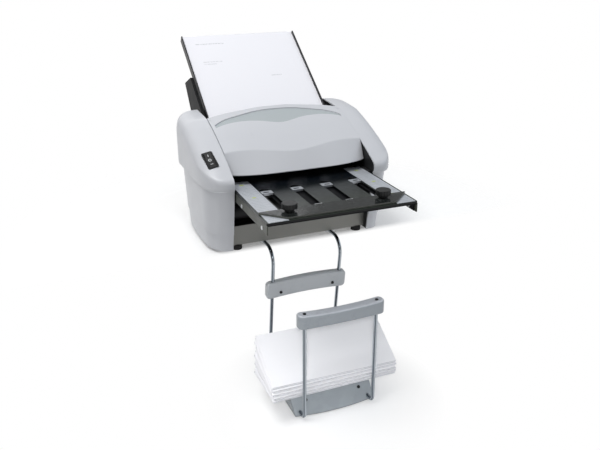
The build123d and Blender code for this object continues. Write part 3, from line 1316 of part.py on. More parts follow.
LETTER_HALF = SHEET_W / 2
LETTER_SHIFT = -1.5
LETTER_LOW = FLOOR_TOP + SOFT_GAP
LETTERS = ((-238.5, LETTER_LOW), (-145.0, LETTER_LOW), (-151.0, -122.0), (-237.0, -168.0))

with BuildPart() as folded_letters:
    with BuildSketch(side_plane(LETTER_SHIFT)):
        with BuildLine():
            Polyline(*LETTERS, close=True)
        make_face()
    extrude(amount=LETTER_HALF, both=True)
keep(folded_letters, "folded_letters")
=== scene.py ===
"""Looks of the paper folding machine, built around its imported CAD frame."""
import bpy
import math
import random
from mathutils import Matrix, Vector


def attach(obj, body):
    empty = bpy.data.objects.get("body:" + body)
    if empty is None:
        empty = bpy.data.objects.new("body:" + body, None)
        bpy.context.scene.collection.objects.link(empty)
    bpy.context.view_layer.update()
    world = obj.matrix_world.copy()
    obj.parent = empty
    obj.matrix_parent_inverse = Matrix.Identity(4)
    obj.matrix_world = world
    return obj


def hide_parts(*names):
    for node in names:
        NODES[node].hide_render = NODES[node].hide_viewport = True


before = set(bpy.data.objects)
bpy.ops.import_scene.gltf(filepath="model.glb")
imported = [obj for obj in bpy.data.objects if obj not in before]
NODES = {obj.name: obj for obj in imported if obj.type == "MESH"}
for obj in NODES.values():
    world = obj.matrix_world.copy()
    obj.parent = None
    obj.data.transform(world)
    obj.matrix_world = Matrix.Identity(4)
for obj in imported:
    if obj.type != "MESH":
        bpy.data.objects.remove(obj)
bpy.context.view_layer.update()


# ------------------------------------------------------------------ materials
def srgb(r, g, b):
    """Linear colour of an sRGB one given from 0 to 255."""
    def linear(c):
        c /= 255
        return c / 12.92 if c <= 0.04045 else ((c + 0.055) / 1.055) ** 2.4
    return (linear(r), linear(g), linear(b), 1.0)


def scaled(color, by):
    """A lighter or darker copy of a colour."""
    return tuple(min(1.0, c * by) for c in color[:3]) + (1.0,)


NOISE_RANGE = (0.3, 0.7)


class Graph:
    """A material's node tree with short helpers, which give the socket that their nodes end in."""

    def __init__(self, name):
        self.mat = bpy.data.materials.new(name)
        self.mat.use_nodes = True
        self.tree = self.mat.node_tree
        self.bsdf = self.tree.nodes["Principled BSDF"]
        self.out = self.tree.nodes["Material Output"]
        self.coord = self.node("ShaderNodeTexCoord").outputs["Object"]

    def put(self, socket, value):
        """Links another node's output to a socket, or sets it to a plain value."""
        if isinstance(value, bpy.types.NodeSocket):
            self.tree.links.new(value, socket)
        else:
            socket.default_value = value

    def node(self, kind, inputs=(), **settings):
        """A new node with its settings, and its inputs by name or number."""
        n = self.tree.nodes.new(kind)
        for key, value in settings.items():
            setattr(n, key, value)
        for key, value in dict(inputs).items():
            self.put(n.inputs[key], value)
        return n

    def mapped(self, scale):
        """Place on the piece, squeezed or stretched along each axis."""
        inputs = {"Vector": self.coord, "Scale": scale}
        return self.node("ShaderNodeMapping", inputs).outputs["Vector"]

    def noise(self, scale, detail=3.0, vector=None):
        inputs = {"Vector": vector or self.coord, "Scale": scale, "Detail": detail}
        return self.node("ShaderNodeTexNoise", inputs).outputs["Fac"]

    def span(self, value, low, high, start, end):
        """Runs from low to high while a value goes from start to end."""
        inputs = {"Value": value, "From Min": start, "From Max": end, "To Min": low, "To Max": high}
        return self.node("ShaderNodeMapRange", inputs).outputs["Result"]

    def spread(self, noise, low, high):
        """Runs from low to high over the range in which most of a noise lies."""
        return self.span(noise, low, high, *NOISE_RANGE)

    def mix(self, share, a, b):
        """Blend of two colours."""
        return self.node("ShaderNodeMix", {0: share, 6: a, 7: b}, data_type="RGBA").outputs[2]

    def blend(self, share, a, b):
        """Blend of two shaders."""
        return self.node("ShaderNodeMixShader", {0: share, 1: a, 2: b}).outputs[0]

    def math(self, op, a, b=0.0):
        return self.node("ShaderNodeMath", {0: a, 1: b}, operation=op).outputs[0]

    def both(self, a, b):
        return self.math("MULTIPLY", a, b)

    def either(self, a, b):
        return self.math("MAXIMUM", a, b)

    def band(self, value, low, high):
        """1 where a value lies between two limits."""
        return self.both(self.math("GREATER_THAN", value, low), self.math("LESS_THAN", value, high))

    def every(self, value, step, share):
        """1 over the first share of every step."""
        return self.math("LESS_THAN", self.math("FRACT", self.math("DIVIDE", value, step)), share)

    def radius(self, x, y):
        """Distance from the point where two measures are zero."""
        return self.math("SQRT", self.math("ADD", self.both(x, x), self.both(y, y)))

    def axes(self, vector=None):
        """The three parts of a vector, by default of the place on the piece."""
        return self.node("ShaderNodeSeparateXYZ", {0: vector or self.coord}).outputs

    def facing(self):
        """The three parts of the direction in which the surface faces."""
        return self.axes(self.node("ShaderNodeNewGeometry").outputs["Normal"])

    def bump(self, height, distance, bevel=0.0):
        """Raised grain, with edges rounded by the bevel's radius."""
        n = self.node("ShaderNodeBump", {"Height": height, "Distance": distance})
        if bevel:
            edge = self.node("ShaderNodeBevel", {"Radius": bevel}, samples=6)
            self.put(n.inputs["Normal"], edge.outputs["Normal"])
        return n.outputs["Normal"]

    def skin(self, color, rough, normal=None, metal=0.0, specular=0.5, alpha=1.0):
        """Sets up the material's own shader, and gives the material."""
        inputs = {"Base Color": color, "Roughness": rough, "Metallic": metal,
                  "Specular IOR Level": specular, "Alpha": alpha}
        if normal:
            inputs["Normal"] = normal
        for key, value in inputs.items():
            self.put(self.bsdf.inputs[key], value)
        return self.mat


# Parts of the normal, pointiness and noise over which a painted top highlight, a painted dark reflection and
# wear come in
PAINTED_TOP_LIGHT_FADE = (0.35, 0.85)
DARK_REFLECTION_NEAR, DARK_REFLECTION_FAR = (-0.2, -0.4), (-0.9, -0.75)
WORN_EDGES = (0.52, 0.6)
WORN_PATCHES = (0.4, 0.7)
WORN_LIGHTER = 3.0
# Weights of the slow and the fine noise in the gloss
BROAD_SHARE, FINE_SHARE = 0.6, 0.4


def surface(name, color, rough, metal=0.0, vary=0.04, rough_vary=0.06, grain=1800.0, depth=0.00002,
            bevel=0.0005, stretch=None, specular=0.5, wear=0.0, broad=14.0, painted_top_light=None, painted_dark_reflection=None):
    """A surface with slow colour and gloss variation, a fine grain, and softened edges.

    wear lightens its edges; a colour given for the faces that point up is painted light, a lighter top, and
    a colour given for a rod's left side is a painted dark reflection.
    """
    g = Graph(name)
    tint = g.mix(g.spread(g.noise(broad, 4.0), 0, 1), scaled(color, 1 - vary), scaled(color, 1 + vary))
    # Painted light: a lighter colour on the faces that point up.
    if painted_top_light:
        tint = g.mix(g.span(g.facing()[2], 0, 1, *PAINTED_TOP_LIGHT_FADE), tint, painted_top_light)
    # Painted reflection: a dark band down the side of a rod that faces left.
    if painted_dark_reflection:
        side = g.facing()[0]
        reflection_band = g.both(g.span(side, 0, 1, *DARK_REFLECTION_NEAR), g.span(side, 0, 1, *DARK_REFLECTION_FAR))
        tint = g.mix(reflection_band, tint, painted_dark_reflection)
    if wear:
        edges = g.span(g.node("ShaderNodeNewGeometry").outputs["Pointiness"], 0, 1, *WORN_EDGES)
        patches = g.span(g.noise(120.0), 0, wear, *WORN_PATCHES)
        tint = g.mix(g.both(edges, patches), tint, scaled(color, WORN_LIGHTER))
    fine = g.noise(grain, 2.0, g.mapped(stretch) if stretch else None)
    patchy = g.math("ADD", g.both(g.noise(broad * 3), BROAD_SHARE), g.both(fine, FINE_SHARE))
    gloss = g.spread(patchy, rough - rough_vary, rough + rough_vary)
    return g.skin(tint, gloss, g.bump(fine, depth, bevel), metal, specular)


COVER = surface("cover_plastic", srgb(201, 203, 208), 0.33, vary=0.012,
                grain=2600, depth=0.000012, bevel=0.0009)
RECESS = surface("recess_plastic", srgb(172, 179, 182), 0.5, vary=0.02,
                 grain=2200, depth=0.00003)
# The lighter colour on the upward faces of the catch's plastic and of the front bar is painted light.
CATCH = surface("catch_plastic", srgb(136, 143, 148), 0.27, vary=0.02,
                grain=2200, depth=0.00001, bevel=0.003, painted_top_light=srgb(166, 173, 179))
FRONT_BAR = surface("front_bar_plastic", srgb(140, 146, 152), 0.3, vary=0.02,
                    grain=2200, depth=0.00001, bevel=0.003, painted_top_light=srgb(188, 192, 199))
# The back bar is a lighter copy of the catch's plastic: painted light for a bar that sits in the machine's
# shade.
BACK_BAR_PAINTED_LIGHT = surface("back_bar_painted_light", srgb(178, 182, 186), 0.3, vary=0.02,
                   grain=2200, depth=0.00001, bevel=0.003)
BLACK_STEEL = surface("black_coat", srgb(20, 21, 23), 0.5, vary=0.12,
                      grain=2600, depth=0.00003, wear=0.25)
OLIVE = surface("base_coat", srgb(129, 129, 125), 0.4, metal=0.45, vary=0.03,
                grain=3200, depth=0.00001, broad=5.0)
STEEL = surface("bright_steel", srgb(214, 216, 218), 0.3, metal=0.9, vary=0.04,
                grain=900, stretch=(1.0, 0.06, 1.0), depth=0.00001, bevel=0.0003)
# The darker colour down each rod's left side is a painted dark reflection.
CHROME = surface("rod_chrome", srgb(168, 174, 180), 0.14, metal=1.0, vary=0.04, rough_vary=0.03,
                 grain=700, depth=0.000004, bevel=0.0002, painted_dark_reflection=srgb(88, 96, 104))
RUBBER = surface("rubber", srgb(27, 27, 28), 0.75, vary=0.15,
                 grain=3000, depth=0.00004, specular=0.3)
DARK_PLASTIC = surface("dark_plastic", srgb(13, 14, 16), 0.42, vary=0.1,
                       grain=2400, depth=0.00002, bevel=0.0006, specular=0.2)
KNOB = surface("knob_plastic", srgb(20, 21, 22), 0.42, vary=0.1,
               grain=2400, depth=0.00002, bevel=0.0006, specular=0.35)
SCREW_BLACK = surface("black_screw", srgb(24, 24, 26), 0.4, metal=0.4, vary=0.1,
                      grain=2400, depth=0.00002)
TRAY = surface("tray_plastic", srgb(15, 16, 18), 0.55, vary=0.1,
               grain=2000, depth=0.00004, specular=0.2)
GUIDE = surface("guide_coat", srgb(20, 21, 24), 0.4, metal=0.2, vary=0.06,
                grain=2600, depth=0.00002, wear=0.4)
ROLLER = surface("roller_rubber", srgb(25, 25, 26), 0.6, vary=0.1,
                 grain=500, stretch=(0.2, 1, 1), depth=0.00006, specular=0.3)
NYLON = surface("gear_nylon", srgb(226, 222, 206), 0.5, vary=0.03,
                grain=1500, depth=0.00001)
BRASS = surface("bush_brass", srgb(186, 150, 88), 0.35, metal=1.0, vary=0.06)
MOTOR = surface("motor_coat", srgb(92, 94, 98), 0.4, metal=0.6, vary=0.05)
RAIL_METAL = surface("rail_metal", srgb(66, 69, 61), 0.36, metal=0.4, vary=0.05,
                     grain=1200, stretch=(1.0, 0.05, 1.0), depth=0.00001)
POCKET_BLACK = surface("pocket_black", srgb(8, 9, 13), 0.6, vary=0.1,
                       grain=1800, depth=0.00002, specular=0.12)

SMOKE_DARK_Y, SMOKE_LIT_Y = -0.095, -0.215
SMOKE_WAVE = 0.02


def smoke_look():
    """Smoked plate, black at its edges and rear; painted light turns its top greyer towards the front, where
    the light reaches it.
    """
    g = Graph("smoked_plate")
    wavy_y = g.math("ADD", g.axes()[1], g.both(g.noise(9.0), SMOKE_WAVE))
    # Painted light: the top runs from black at the rear to grey at the front.
    top = g.mix(g.span(wavy_y, 0, 1, SMOKE_DARK_Y, SMOKE_LIT_Y), srgb(13, 17, 22), srgb(46, 51, 46))
    upward = g.math("GREATER_THAN", g.facing()[2], 0.5)
    tint = g.mix(upward, srgb(14, 15, 17), top)
    return g.skin(tint, g.spread(g.noise(90.0), 0.16, 0.26), g.bump(g.noise(500.0), 0.000004, bevel=0.0005),
                  specular=0.22)


def stop_look():
    """See-through smoked bar with a paler cut edge in front."""
    g = Graph("smoked_bar")
    cut_edge = g.math("LESS_THAN", g.facing()[1], -0.6)
    flat = g.mix(g.noise(40.0), srgb(33, 36, 36), srgb(37, 40, 39))
    tint = g.mix(cut_edge, flat, srgb(98, 100, 95))
    return g.skin(tint, g.spread(g.noise(90.0), 0.1, 0.2), g.bump(g.noise(500.0), 0.000004, bevel=0.0005),
                  specular=0.4, alpha=0.8)


CLIP_SPACING = 0.0495
CLIP_HOLE_ACROSS = (0.44, 0.62)  # shares of the spacing
CLIP_HOLE_Y = (-0.1305, -0.1265)


def clip_look():
    """Bright bent clip; its dark opening is painted shade, a flat dark patch standing for the hole and the
    shaded slot under it.
    """
    g = Graph("slot_clip_steel")
    x, y, _ = g.axes()
    across = g.math("FRACT", g.math("DIVIDE", g.math("ABSOLUTE", x), CLIP_SPACING))
    opening = g.both(g.band(y, *CLIP_HOLE_Y), g.band(across, *CLIP_HOLE_ACROSS))
    tint = g.mix(opening, srgb(176, 180, 186), srgb(24, 25, 28))
    return g.skin(tint, g.spread(g.noise(300.0), 0.3, 0.42), g.bump(g.noise(900.0), 0.00001, bevel=0.0003),
                  metal=0.5)


ROCKER_PLACE = (-0.144, -0.064, 0.15085)
ROCKER_TURN = (math.radians(25.953), math.radians(-11.494), 0)
RING_RADII = (0.0014, 0.0026)
BAR = (0.0006, 0.0065, 0.0105)  # half width, low y, high y
DASH = (0.0022, -0.0092, -0.0080)


def rocker_look():
    """Black rocker with plain light marks laid out from its middle: a bar, a ring and a dash."""
    g = Graph("rocker_print")
    inputs = {"Vector": g.coord, "Location": ROCKER_PLACE, "Rotation": ROCKER_TURN}
    seat = g.node("ShaderNodeMapping", inputs, vector_type="TEXTURE")
    x, y, _ = g.axes(seat.outputs[0])
    marks = g.band(g.radius(x, y), *RING_RADII)
    for half, low, high in (BAR, DASH):
        beside = g.math("LESS_THAN", g.math("ABSOLUTE", x), half)
        marks = g.either(marks, g.both(beside, g.band(y, low, high)))
    tint = g.mix(marks, srgb(13, 14, 16), srgb(196, 198, 200))
    return g.skin(tint, g.spread(g.noise(500.0), 0.3, 0.4), g.bump(g.noise(1800.0), 0.00002, bevel=0.0005),
                  specular=0.2)


TRACKS_ALONG, TRACKS_UP = 260.0, 90.0  # to a metre


def board_look():
    """Green lacquer with copper tracks under it."""
    g = Graph("board_lacquer")
    _, y, z = g.axes()
    lines = g.math("PINGPONG", g.math("ADD", g.both(y, TRACKS_ALONG), g.both(z, TRACKS_UP)), 1.0)
    track = g.span(lines, 0, 1, 0.35, 0.5)
    tint = g.mix(track, srgb(14, 74, 40), srgb(26, 104, 58))
    return g.skin(tint, 0.3, g.bump(track, 0.00003, bevel=0.0003))


SCALE_FRONT_Y = -0.249
FINE_X, COARSE_X = (0.0862, 0.0890), (0.0862, 0.0945)
WORDS_X, SIGNS_X = (0.0960, 0.1130), (0.0975, 0.1035)
SIGNS_AHEAD = 0.021


def scale_look():
    """Pale scale strip with fine marks, a column of print and a few small yellow-green signs."""
    g = Graph("scale_print")
    x, y, _ = g.axes()
    across = g.math("ABSOLUTE", x)
    along = g.math("SUBTRACT", y, SCALE_FRONT_Y)
    fine = g.both(g.every(along, step=0.002, share=0.17), g.band(across, *FINE_X))
    coarse = g.both(g.every(along, step=0.01, share=0.06), g.band(across, *COARSE_X))
    dots = g.math("GREATER_THAN", g.noise(1300.0, 1.0), 0.48)
    lines = g.both(g.every(along, step=0.0062, share=0.3), g.band(across, *WORDS_X))
    rows = g.every(g.math("ADD", along, SIGNS_AHEAD), step=0.062, share=0.06)
    tint = g.mix(g.noise(45.0), srgb(168, 172, 180), srgb(178, 182, 187))
    tint = g.mix(g.both(g.both(lines, dots), 0.8), tint, srgb(112, 120, 126))
    tint = g.mix(g.both(g.either(fine, coarse), 0.8), tint, srgb(92, 98, 106))
    tint = g.mix(g.both(rows, g.band(across, *SIGNS_X)), tint, srgb(170, 184, 60))
    return g.skin(tint, g.spread(g.noise(400.0), 0.3, 0.42), g.bump(g.noise(900.0), 0.000008))


HEADING_X, HEADING_Y = (-0.088, -0.034), (0.2585, 0.2605)
TEXT_LINES = ((0.2130, -0.084, -0.048), (0.2075, -0.084, -0.060), (0.1700, 0.034, 0.054))  # y, left, right
TEXT_HEIGHT = 0.0016
FRONT_SHADE_FADE = (-0.85, -0.45)


def paper_look(name, color, lines_on=False, front=None):
    """Fibrous paper, with a few faint plain lines where asked for, or painted shade in a given colour on its
    faces that point to the front where asked for.
    """
    g = Graph(name)
    fibre = g.noise(1400.0, 4.0, g.mapped((1.0, 0.5, 1.0)))
    tint = g.mix(g.spread(fibre, 0, 1), scaled(color, 0.975), color)
    if lines_on:
        x, y, _ = g.axes()
        lines = g.both(g.band(y, *HEADING_Y), g.band(x, *HEADING_X))
        for low, left, right in TEXT_LINES:
            lines = g.either(lines, g.both(g.band(y, low, low + TEXT_HEIGHT), g.band(x, left, right)))
        broken = g.math("GREATER_THAN", g.noise(700.0, 1.0), 0.45)
        tint = g.mix(g.both(g.both(lines, broken), 0.4), tint, srgb(120, 123, 128))
    # Painted shade: a darker colour on the faces that point to the front.
    if front:
        tint = g.mix(g.span(g.facing()[1], 1, 0, *FRONT_SHADE_FADE), tint, front)
    return g.skin(tint, 0.85, g.bump(fibre, 0.00001), specular=0.25)


PAPER = paper_look("paper_plain", srgb(238, 239, 243))
# The letters' paper is a brighter copy of the plain paper, painted light for a pile that lies in the
# machine's shade, with painted shade on its faces that point to the front.
LETTER_PAPER_LIT_SHADED = paper_look("letter_paper_lit_shaded", srgb(248, 248, 251), front=srgb(206, 207, 212))
TOP_PAPER = paper_look("paper_heading", srgb(240, 240, 245), lines_on=True)

LOOKS = {
    "chassis_base": OLIVE, "side_plate_left": BLACK_STEEL, "side_plate_right": BLACK_STEEL,
    "tie_bars": BLACK_STEEL, "frame_screws": STEEL, "rear_cover": BLACK_STEEL, "power_inlet": DARK_PLASTIC,
    "end_cover_left": COVER, "end_cover_right": COVER, "switch_bezel": DARK_PLASTIC, "rubber_feet": RUBBER,
    "board_standoffs": STEEL, "circuit_board": board_look(), "feed_tray": TRAY, "separator_pad": RUBBER,
    "guide_left": GUIDE, "guide_right": GUIDE, "paper_stack": PAPER, "front_cover": COVER,
    "feed_roller_shaft": STEEL, "feed_roller_tyres": RUBBER, "feed_pulley": NYLON, "drive_pulley": NYLON,
    "timing_belt": RUBBER, "idler_gear": NYLON, "idler_stud": STEEL, "motor_body": MOTOR,
    "motor_shaft": STEEL, "motor_pinion": BRASS, "roller_bushes": BRASS, "rear_fold_plate": BLACK_STEEL,
    "table_top_plate": smoke_look(), "table_lower_plate": POCKET_BLACK, "table_rails": RAIL_METAL,
    "table_front_bar": POCKET_BLACK, "scale_labels": scale_look(), "table_rivets": STEEL,
    "slot_clips": clip_look(), "table_runners": BLACK_STEEL, "stop_bar": stop_look(), "stop_fingers": STEEL,
    "knob_left": KNOB, "knob_right": KNOB, "clamp_nuts": STEEL, "catch_rods": CHROME,
    "rod_clips": STEEL, "catch_back_bar": BACK_BAR_PAINTED_LIGHT, "catch_front_bar": FRONT_BAR, "catch_floor": CATCH,
    "catch_screws": SCREW_BLACK, "folded_letters": LETTER_PAPER_LIT_SHADED, "switch_rocker": rocker_look(),
}
for number in range(1, 5):
    LOOKS[f"fold_roller_{number}"] = ROLLER
    LOOKS[f"roller_gear_{number}"] = NYLON
for name, node in NODES.items():
    node.data.materials.clear()
    node.data.materials.append(LOOKS[name])


# ------------------------------------------------------------------ the front cover's shallow recess
COVER_HALF = 0.1188
RECESS_REAR = ((0, 0.0385), (0.3, 0.037), (0.58, 0.031), (0.9, 0.017))  # share of the half width, y
RECESS_FRONT = ((0, 0), (0.31, 0.009), (0.6, 0.0135), (0.9, 0.007))
RECESS_END = 0.9
RECESS_MARGIN = 0.003
RECESS_LOW_Z = 0.150


def curve_at(points, share):
    """Value of a curve given by points, at a share of the cover's half width."""
    for (a, va), (b, vb) in zip(points, points[1:]):
        if a <= share <= b:
            return va + (vb - va) * (share - a) / (b - a)
    return None


def well_inside(spot):
    """True for a place that is surely on the recess's floor."""
    share = abs(spot.x) / COVER_HALF
    if share >= RECESS_END or spot.z < RECESS_LOW_Z:
        return False
    front, rear = curve_at(RECESS_FRONT, share), curve_at(RECESS_REAR, share)
    return front + RECESS_MARGIN < spot.y < rear - RECESS_MARGIN


def color_recess(cover):
    """Gives the recess's floor a duller surface, spreading from its middle to where the faces turn steep."""
    cover.data.materials.append(RECESS)
    corners = [tuple(round(c, 5) for c in vertex.co) for vertex in cover.data.vertices]
    flat = [polygon for polygon in cover.data.polygons if polygon.normal.z > 0.5]
    beside = {}
    for polygon in flat:
        for a, b in polygon.edge_keys:
            beside.setdefault(frozenset((corners[a], corners[b])), []).append(polygon)
    reached = [polygon for polygon in flat if well_inside(cover.matrix_world @ polygon.center)]
    for polygon in reached:
        polygon.material_index = 1
    while reached:
        for a, b in reached.pop().edge_keys:
            for polygon in beside[frozenset((corners[a], corners[b]))]:
                if polygon.material_index == 0:
                    polygon.material_index = 1
                    reached.append(polygon)


color_recess(NODES["front_cover"])


# ------------------------------------------------------------------ paper
SHEET = (0.2159, 0.2794)


def paper_piece(name, verts, faces, look, body, matrix=None):
    """A named piece that rides a body."""
    mesh = bpy.data.meshes.new(name)
    mesh.from_pydata(verts, [], faces)
    mesh.update()
    obj = bpy.data.objects.new(name, mesh)
    bpy.context.scene.collection.objects.link(obj)
    if matrix is not None:
        obj.matrix_world = matrix
    mesh.materials.append(look)
    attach(obj, body)
    return obj


def add_sheet(verts, faces, centre, turn, thick, steps=(6, 8)):
    """Adds one sheet of paper, a thin closed slab, to lists of verts and faces."""
    across, along = steps
    start = len(verts)
    c, s = math.cos(turn), math.sin(turn)
    for z in (centre[2], centre[2] + thick):
        for j in range(along + 1):
            for i in range(across + 1):
                u = (i / across - 0.5) * SHEET[0]
                v = (j / along - 0.5) * SHEET[1]
                verts.append((centre[0] + u * c - v * s, centre[1] + u * s + v * c, z))
    row = across + 1
    top = row * (along + 1)
    for j in range(along):
        for i in range(across):
            a = start + j * row + i
            faces.append((a, a + row, a + row + 1, a + 1))
            faces.append((a + top, a + top + 1, a + top + row + 1, a + top + row))
    rims = []
    for j in range(along):
        here, there = start + j * row, start + (j + 1) * row
        rims += [(here, there), (there + across, here + across)]
    for i in range(across):
        here, there = start + i, start + along * row + i
        rims += [(here + 1, here), (there, there + 1)]
    for a, b in rims:
        faces.append((a, a + top, b + top, b))


# ------------------------------------------------------------------ the sheets on the feed slope
FEED_ANGLE = math.radians(36)
FEED_START = Vector((0, 0.009, 0.130))
slope_y = Vector((0, math.cos(FEED_ANGLE), math.sin(FEED_ANGLE)))
slope_n = Vector((0, -math.sin(FEED_ANGLE), math.cos(FEED_ANGLE)))
feed_matrix = Matrix((
    (1, 0, 0, FEED_START.x),
    (0, slope_y.y, slope_n.y, FEED_START.y),
    (0, slope_y.z, slope_n.z, FEED_START.z),
    (0, 0, 0, 1),
))
SHEETS = 26
SHEET_MIDDLE, TOP_MIDDLE = 0.1417, 0.1419
STACK_LOW, STACK_T = 0.0015, 0.0074
PITCH = STACK_T / SHEETS
SHEET_T, TOP_T = PITCH * 0.75, PITCH * 0.7
LOOSE_ACROSS, LOOSE_ALONG, LOOSE_TURN = 0.0002, 0.0008, 0.0006
TOP_TURN = 0.0003
rng = random.Random(4)
verts, faces = [], []
for i in range(SHEETS - 1):
    across = rng.uniform(-LOOSE_ACROSS, LOOSE_ACROSS)
    along = SHEET_MIDDLE + rng.uniform(-LOOSE_ALONG, LOOSE_ALONG)
    turn = rng.uniform(-LOOSE_TURN, LOOSE_TURN)
    add_sheet(verts, faces, (across, along, STACK_LOW + i * PITCH), turn, SHEET_T)
stack = paper_piece("feed_sheets", verts, faces, PAPER, "paper", feed_matrix)
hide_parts("paper_stack")
verts, faces = [], []
add_sheet(verts, faces, (0, TOP_MIDDLE, STACK_LOW + (SHEETS - 1) * PITCH), TOP_TURN, TOP_T, steps=(12, 16))
paper_piece("feed_top_sheet", verts, faces, TOP_PAPER, "paper", feed_matrix)


# ------------------------------------------------------------------ the folded letters in the catch tray
LETTERS = 9
SIDE_ROOM = 0.0013  # taken off each side, because turns and shifts widen the pile
LETTER_HALF = SHEET[0] / 2 - SIDE_ROOM
LETTER_T = 0.0004
PILE_X, PILE_Y = -0.0015, -0.19
# Heights of the pile at its front and rear, and the rear edges of its lowest and highest letter
FRONT_LOW, FRONT_HIGH = -0.1940, -0.1683
REAR_LOW, REAR_HIGH = -0.1940, -0.1224
REAR_Y = (-0.1466, -0.1520)
FRONT_Y = -0.2362
# For each letter from below, how far it lies behind the pile's front, its shift to the right and its turn
FRONT_INSETS = (0.0012, 0.0030, 0.0002, 0.0026, 0.0006, 0.0042, 0.0018, 0.0034, 0.0026)
SIDE_SHIFTS = (-0.0010, 0.0010, -0.0004, 0.0012, -0.0011, 0.0004, 0.0011, -0.0006, 0.0004)
TURNS = (0.004, -0.012, 0.002, -0.016, -0.006, -0.020, -0.010, -0.021, -0.019)
# Shares of a letter's height at which its three layers lie
LAYERS = (0.06, 0.5, 0.97)
SAG = 0.0006
FOLD_BULGE = 0.55
STEPS = 8


def between(low, high, share):
    return low + (high - low) * share


def letter_profile(low, high, front, rear):
    """Points in YZ of a sheet folded in three between two sloping lines, as a smooth run."""
    points = []
    for k, layer in enumerate(LAYERS):
        ends = [(front, between(low[0], high[0], layer)), (rear, between(low[1], high[1], layer))]
        way = -1 if k == 1 else 1
        (y0, z0), (y1, z1) = ends[::way]
        for step in range(STEPS + 1):
            t = step / STEPS
            z = between(z0, z1, t) + math.sin(math.pi * t) * SAG * way
            points.append((between(y0, y1, t), z))
        if k < len(LAYERS) - 1:
            side = 0 if k == 1 else 1
            z2 = between(low[side], high[side], LAYERS[k + 1])
            bulge = abs(z2 - z1) / 2 * FOLD_BULGE
            for step in range(1, STEPS):
                a = math.pi * step / STEPS
                points.append((y1 + way * bulge * math.sin(a), between(z1, z2, (1 - math.cos(a)) / 2)))
    return points


def letter_piece(name, points, turn, shift):
    """A folded sheet: its profile drawn out across, with thickness and a slight turn."""
    verts, faces = [], []
    normals = []
    n = len(points)
    for i in range(n):
        a, b = points[max(i - 1, 0)], points[min(i + 1, n - 1)]
        dy, dz = b[0] - a[0], b[1] - a[1]
        length = math.hypot(dy, dz)
        normals.append((-dz / length, dy / length))
    c, s = math.cos(turn), math.sin(turn)
    for x in (-LETTER_HALF, LETTER_HALF):
        for side in (-LETTER_T / 2, LETTER_T / 2):
            for (y, z), (ny, nz) in zip(points, normals):
                v = y + ny * side - PILE_Y
                verts.append((x * c - v * s + shift, x * s + v * c + PILE_Y, z + nz * side))
    for i in range(n - 1):
        a, b, c, d = i, n + i, 2 * n + i, 3 * n + i
        faces += [(a, a + 1, c + 1, c), (b, d, d + 1, b + 1), (a, b, b + 1, a + 1), (c, c + 1, d + 1, d)]
    faces += [(0, 2 * n, 3 * n, n), (n - 1, 2 * n - 1, 4 * n - 1, 3 * n - 1)]
    return paper_piece(name, verts, faces, LETTER_PAPER_LIT_SHADED, "letters")


for i in range(LETTERS):
    below, above = i / LETTERS, (i + 1) / LETTERS
    low = (between(FRONT_LOW, FRONT_HIGH, below), between(REAR_LOW, REAR_HIGH, below))
    high = (between(FRONT_LOW, FRONT_HIGH, above), between(REAR_LOW, REAR_HIGH, above))
    rear = between(*REAR_Y, below) + rng.uniform(-LOOSE_ALONG, LOOSE_ALONG)
    points = letter_profile(low, high, FRONT_Y + FRONT_INSETS[i], rear)
    letter_piece(f"letter_{i + 1}", points, TURNS[i], PILE_X + SIDE_SHIFTS[i])
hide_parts("folded_letters")


# ------------------------------------------------------------------ floor, light and camera
GROUND_GLOW = 0.2
FLOOR_Z = -0.2365
DESK_Z = -0.0002
DESK_FRONT = -0.088
FADE_END = -0.070


def ground_look(name, middle_y, clear_from, fade_y=None):
    """White ground that takes light and shadow near the machine.

    Beyond the distances clear_from, the floor is pure white, and the desk, which alone has fade_y, can't be
    seen. Over fade_y the desk's front edge turns white.
    """
    g = Graph(name)
    tint = g.mix(g.noise(3.0), (0.80, 0.80, 0.80, 1), (0.82, 0.82, 0.82, 1))
    g.skin(tint, 0.9, specular=0.0)
    matt = g.bsdf.outputs[0]
    glow = g.node("ShaderNodeEmission", {"Strength": GROUND_GLOW}).outputs[0]
    white = g.node("ShaderNodeEmission").outputs[0]
    near = g.node("ShaderNodeAddShader", {0: matt, 1: glow}).outputs[0]
    far = white
    x, y, _ = g.axes()
    if fade_y:
        near = g.blend(g.span(y, 1, 0, *fade_y), near, white)
        far = g.node("ShaderNodeBsdfTransparent").outputs[0]
    distance = g.radius(x, g.math("SUBTRACT", y, middle_y))
    shown = g.blend(g.span(distance, 0, 1, *clear_from), near, far)
    rays = g.node("ShaderNodeLightPath").outputs
    seen = g.either(g.either(rays["Is Camera Ray"], rays["Is Glossy Ray"]), rays["Is Transmission Ray"])
    g.put(g.out.inputs["Surface"], g.blend(seen, matt, shown))
    return g.mat


FLOOR = ground_look("floor_paint", middle_y=-0.19, clear_from=(0.08, 0.20))
DESK = ground_look("desk_paint", middle_y=0.0, clear_from=(0.28, 0.48), fade_y=(DESK_FRONT, FADE_END))


def plane(name, x, y, z, look):
    """A flat rectangle of the stage, between two values of x and two of y."""
    mesh = bpy.data.meshes.new(name)
    outline = [(x[0], y[0], z), (x[1], y[0], z), (x[1], y[1], z), (x[0], y[1], z)]
    mesh.from_pydata(outline, [], [(0, 1, 2, 3)])
    mesh.materials.append(look)
    obj = bpy.data.objects.new(name, mesh)
    bpy.context.scene.collection.objects.link(obj)
    return obj


plane("floor", (-20.0, 20.0), (-20.0, 30.0), FLOOR_Z, FLOOR)
desk = plane("desk", (-0.7, 0.7), (DESK_FRONT, 0.7), DESK_Z, DESK)
desk.visible_shadow = False
desk.visible_diffuse = False


def lamp(name, kind, place, aim, power, **settings):
    """A lamp at one place that points at another."""
    data = bpy.data.lights.new(name, kind)
    data.energy = power
    for key, value in settings.items():
        setattr(data, key, value)
    obj = bpy.data.objects.new(name, data)
    obj.location = place
    obj.rotation_euler = (Vector(aim) - Vector(place)).to_track_quat("-Z", "Y").to_euler()
    bpy.context.scene.collection.objects.link(obj)


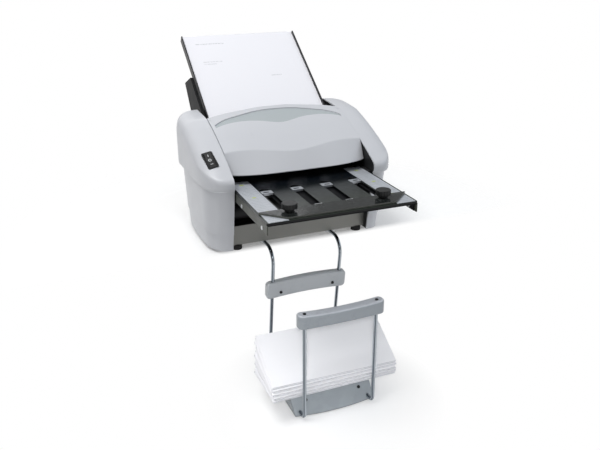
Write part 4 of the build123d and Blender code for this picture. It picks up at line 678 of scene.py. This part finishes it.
lamp("key", "AREA", place=(-0.6, -0.15, 1.9), aim=(0, 0, 0.05), power=25,
     shape="RECTANGLE", size=1.1, size_y=1.1)
lamp("fill", "AREA", place=(1.5, -0.6, 0.9), aim=(0, 0, 0.05), power=4.5,
     shape="RECTANGLE", size=1.2, size_y=1.2, color=(0.72, 0.86, 1.0))
lamp("back", "AREA", place=(0, 1.6, 1.3), aim=(0, 0, 0.1), power=5,
     shape="RECTANGLE", size=1.6, size_y=0.8)
lamp("tray", "SPOT", place=(-0.44, -1.15, 0.52), aim=(0, -0.21, -0.16), power=25,
     spot_size=math.radians(20), spot_blend=0.6, shadow_soft_size=0.1)

world = bpy.data.worlds.new("studio")
bpy.context.scene.world = world
world.use_nodes = True
tree = world.node_tree
tree.nodes.clear()


def background(color, strength):
    """Light of one colour from all round."""
    n = tree.nodes.new("ShaderNodeBackground")
    n.inputs["Color"].default_value = color
    n.inputs["Strength"].default_value = strength
    return n.outputs[0]


lighting = background((0.99, 0.995, 1.0, 1), strength=0.385)
backdrop = background((1, 1, 1, 1), strength=1.0)
paths = tree.nodes.new("ShaderNodeLightPath")
pick = tree.nodes.new("ShaderNodeMixShader")
end = tree.nodes.new("ShaderNodeOutputWorld")
for socket, source in zip(pick.inputs, (paths.outputs["Is Camera Ray"], lighting, backdrop)):
    tree.links.new(source, socket)
tree.links.new(pick.outputs[0], end.inputs["Surface"])

CAMERA_PLACE = (-0.4104, -1.0891, 0.4694)
TILT, PAN, ROLL = math.radians(22.07), math.radians(22.11), -0.003364
LENS, SENSOR_WIDTH = 42.31, 36.0
camera = bpy.data.objects.new("camera", bpy.data.cameras.new("camera"))
bpy.context.scene.collection.objects.link(camera)
ahead = Vector((math.sin(PAN) * math.cos(TILT), math.cos(PAN) * math.cos(TILT), -math.sin(TILT)))
level = Vector((math.cos(PAN), -math.sin(PAN), 0))
steep = level.cross(ahead)
right = level * math.cos(ROLL) + steep * math.sin(ROLL)
up = steep * math.cos(ROLL) - level * math.sin(ROLL)
camera_turn = Matrix((right, up, -ahead)).transposed()
camera.matrix_world = Matrix.Translation(CAMERA_PLACE) @ camera_turn.to_4x4()
camera.data.lens = LENS
camera.data.sensor_width = SENSOR_WIDTH
bpy.context.scene.camera = camera
bpy.context.scene.view_settings.view_transform = "Standard"
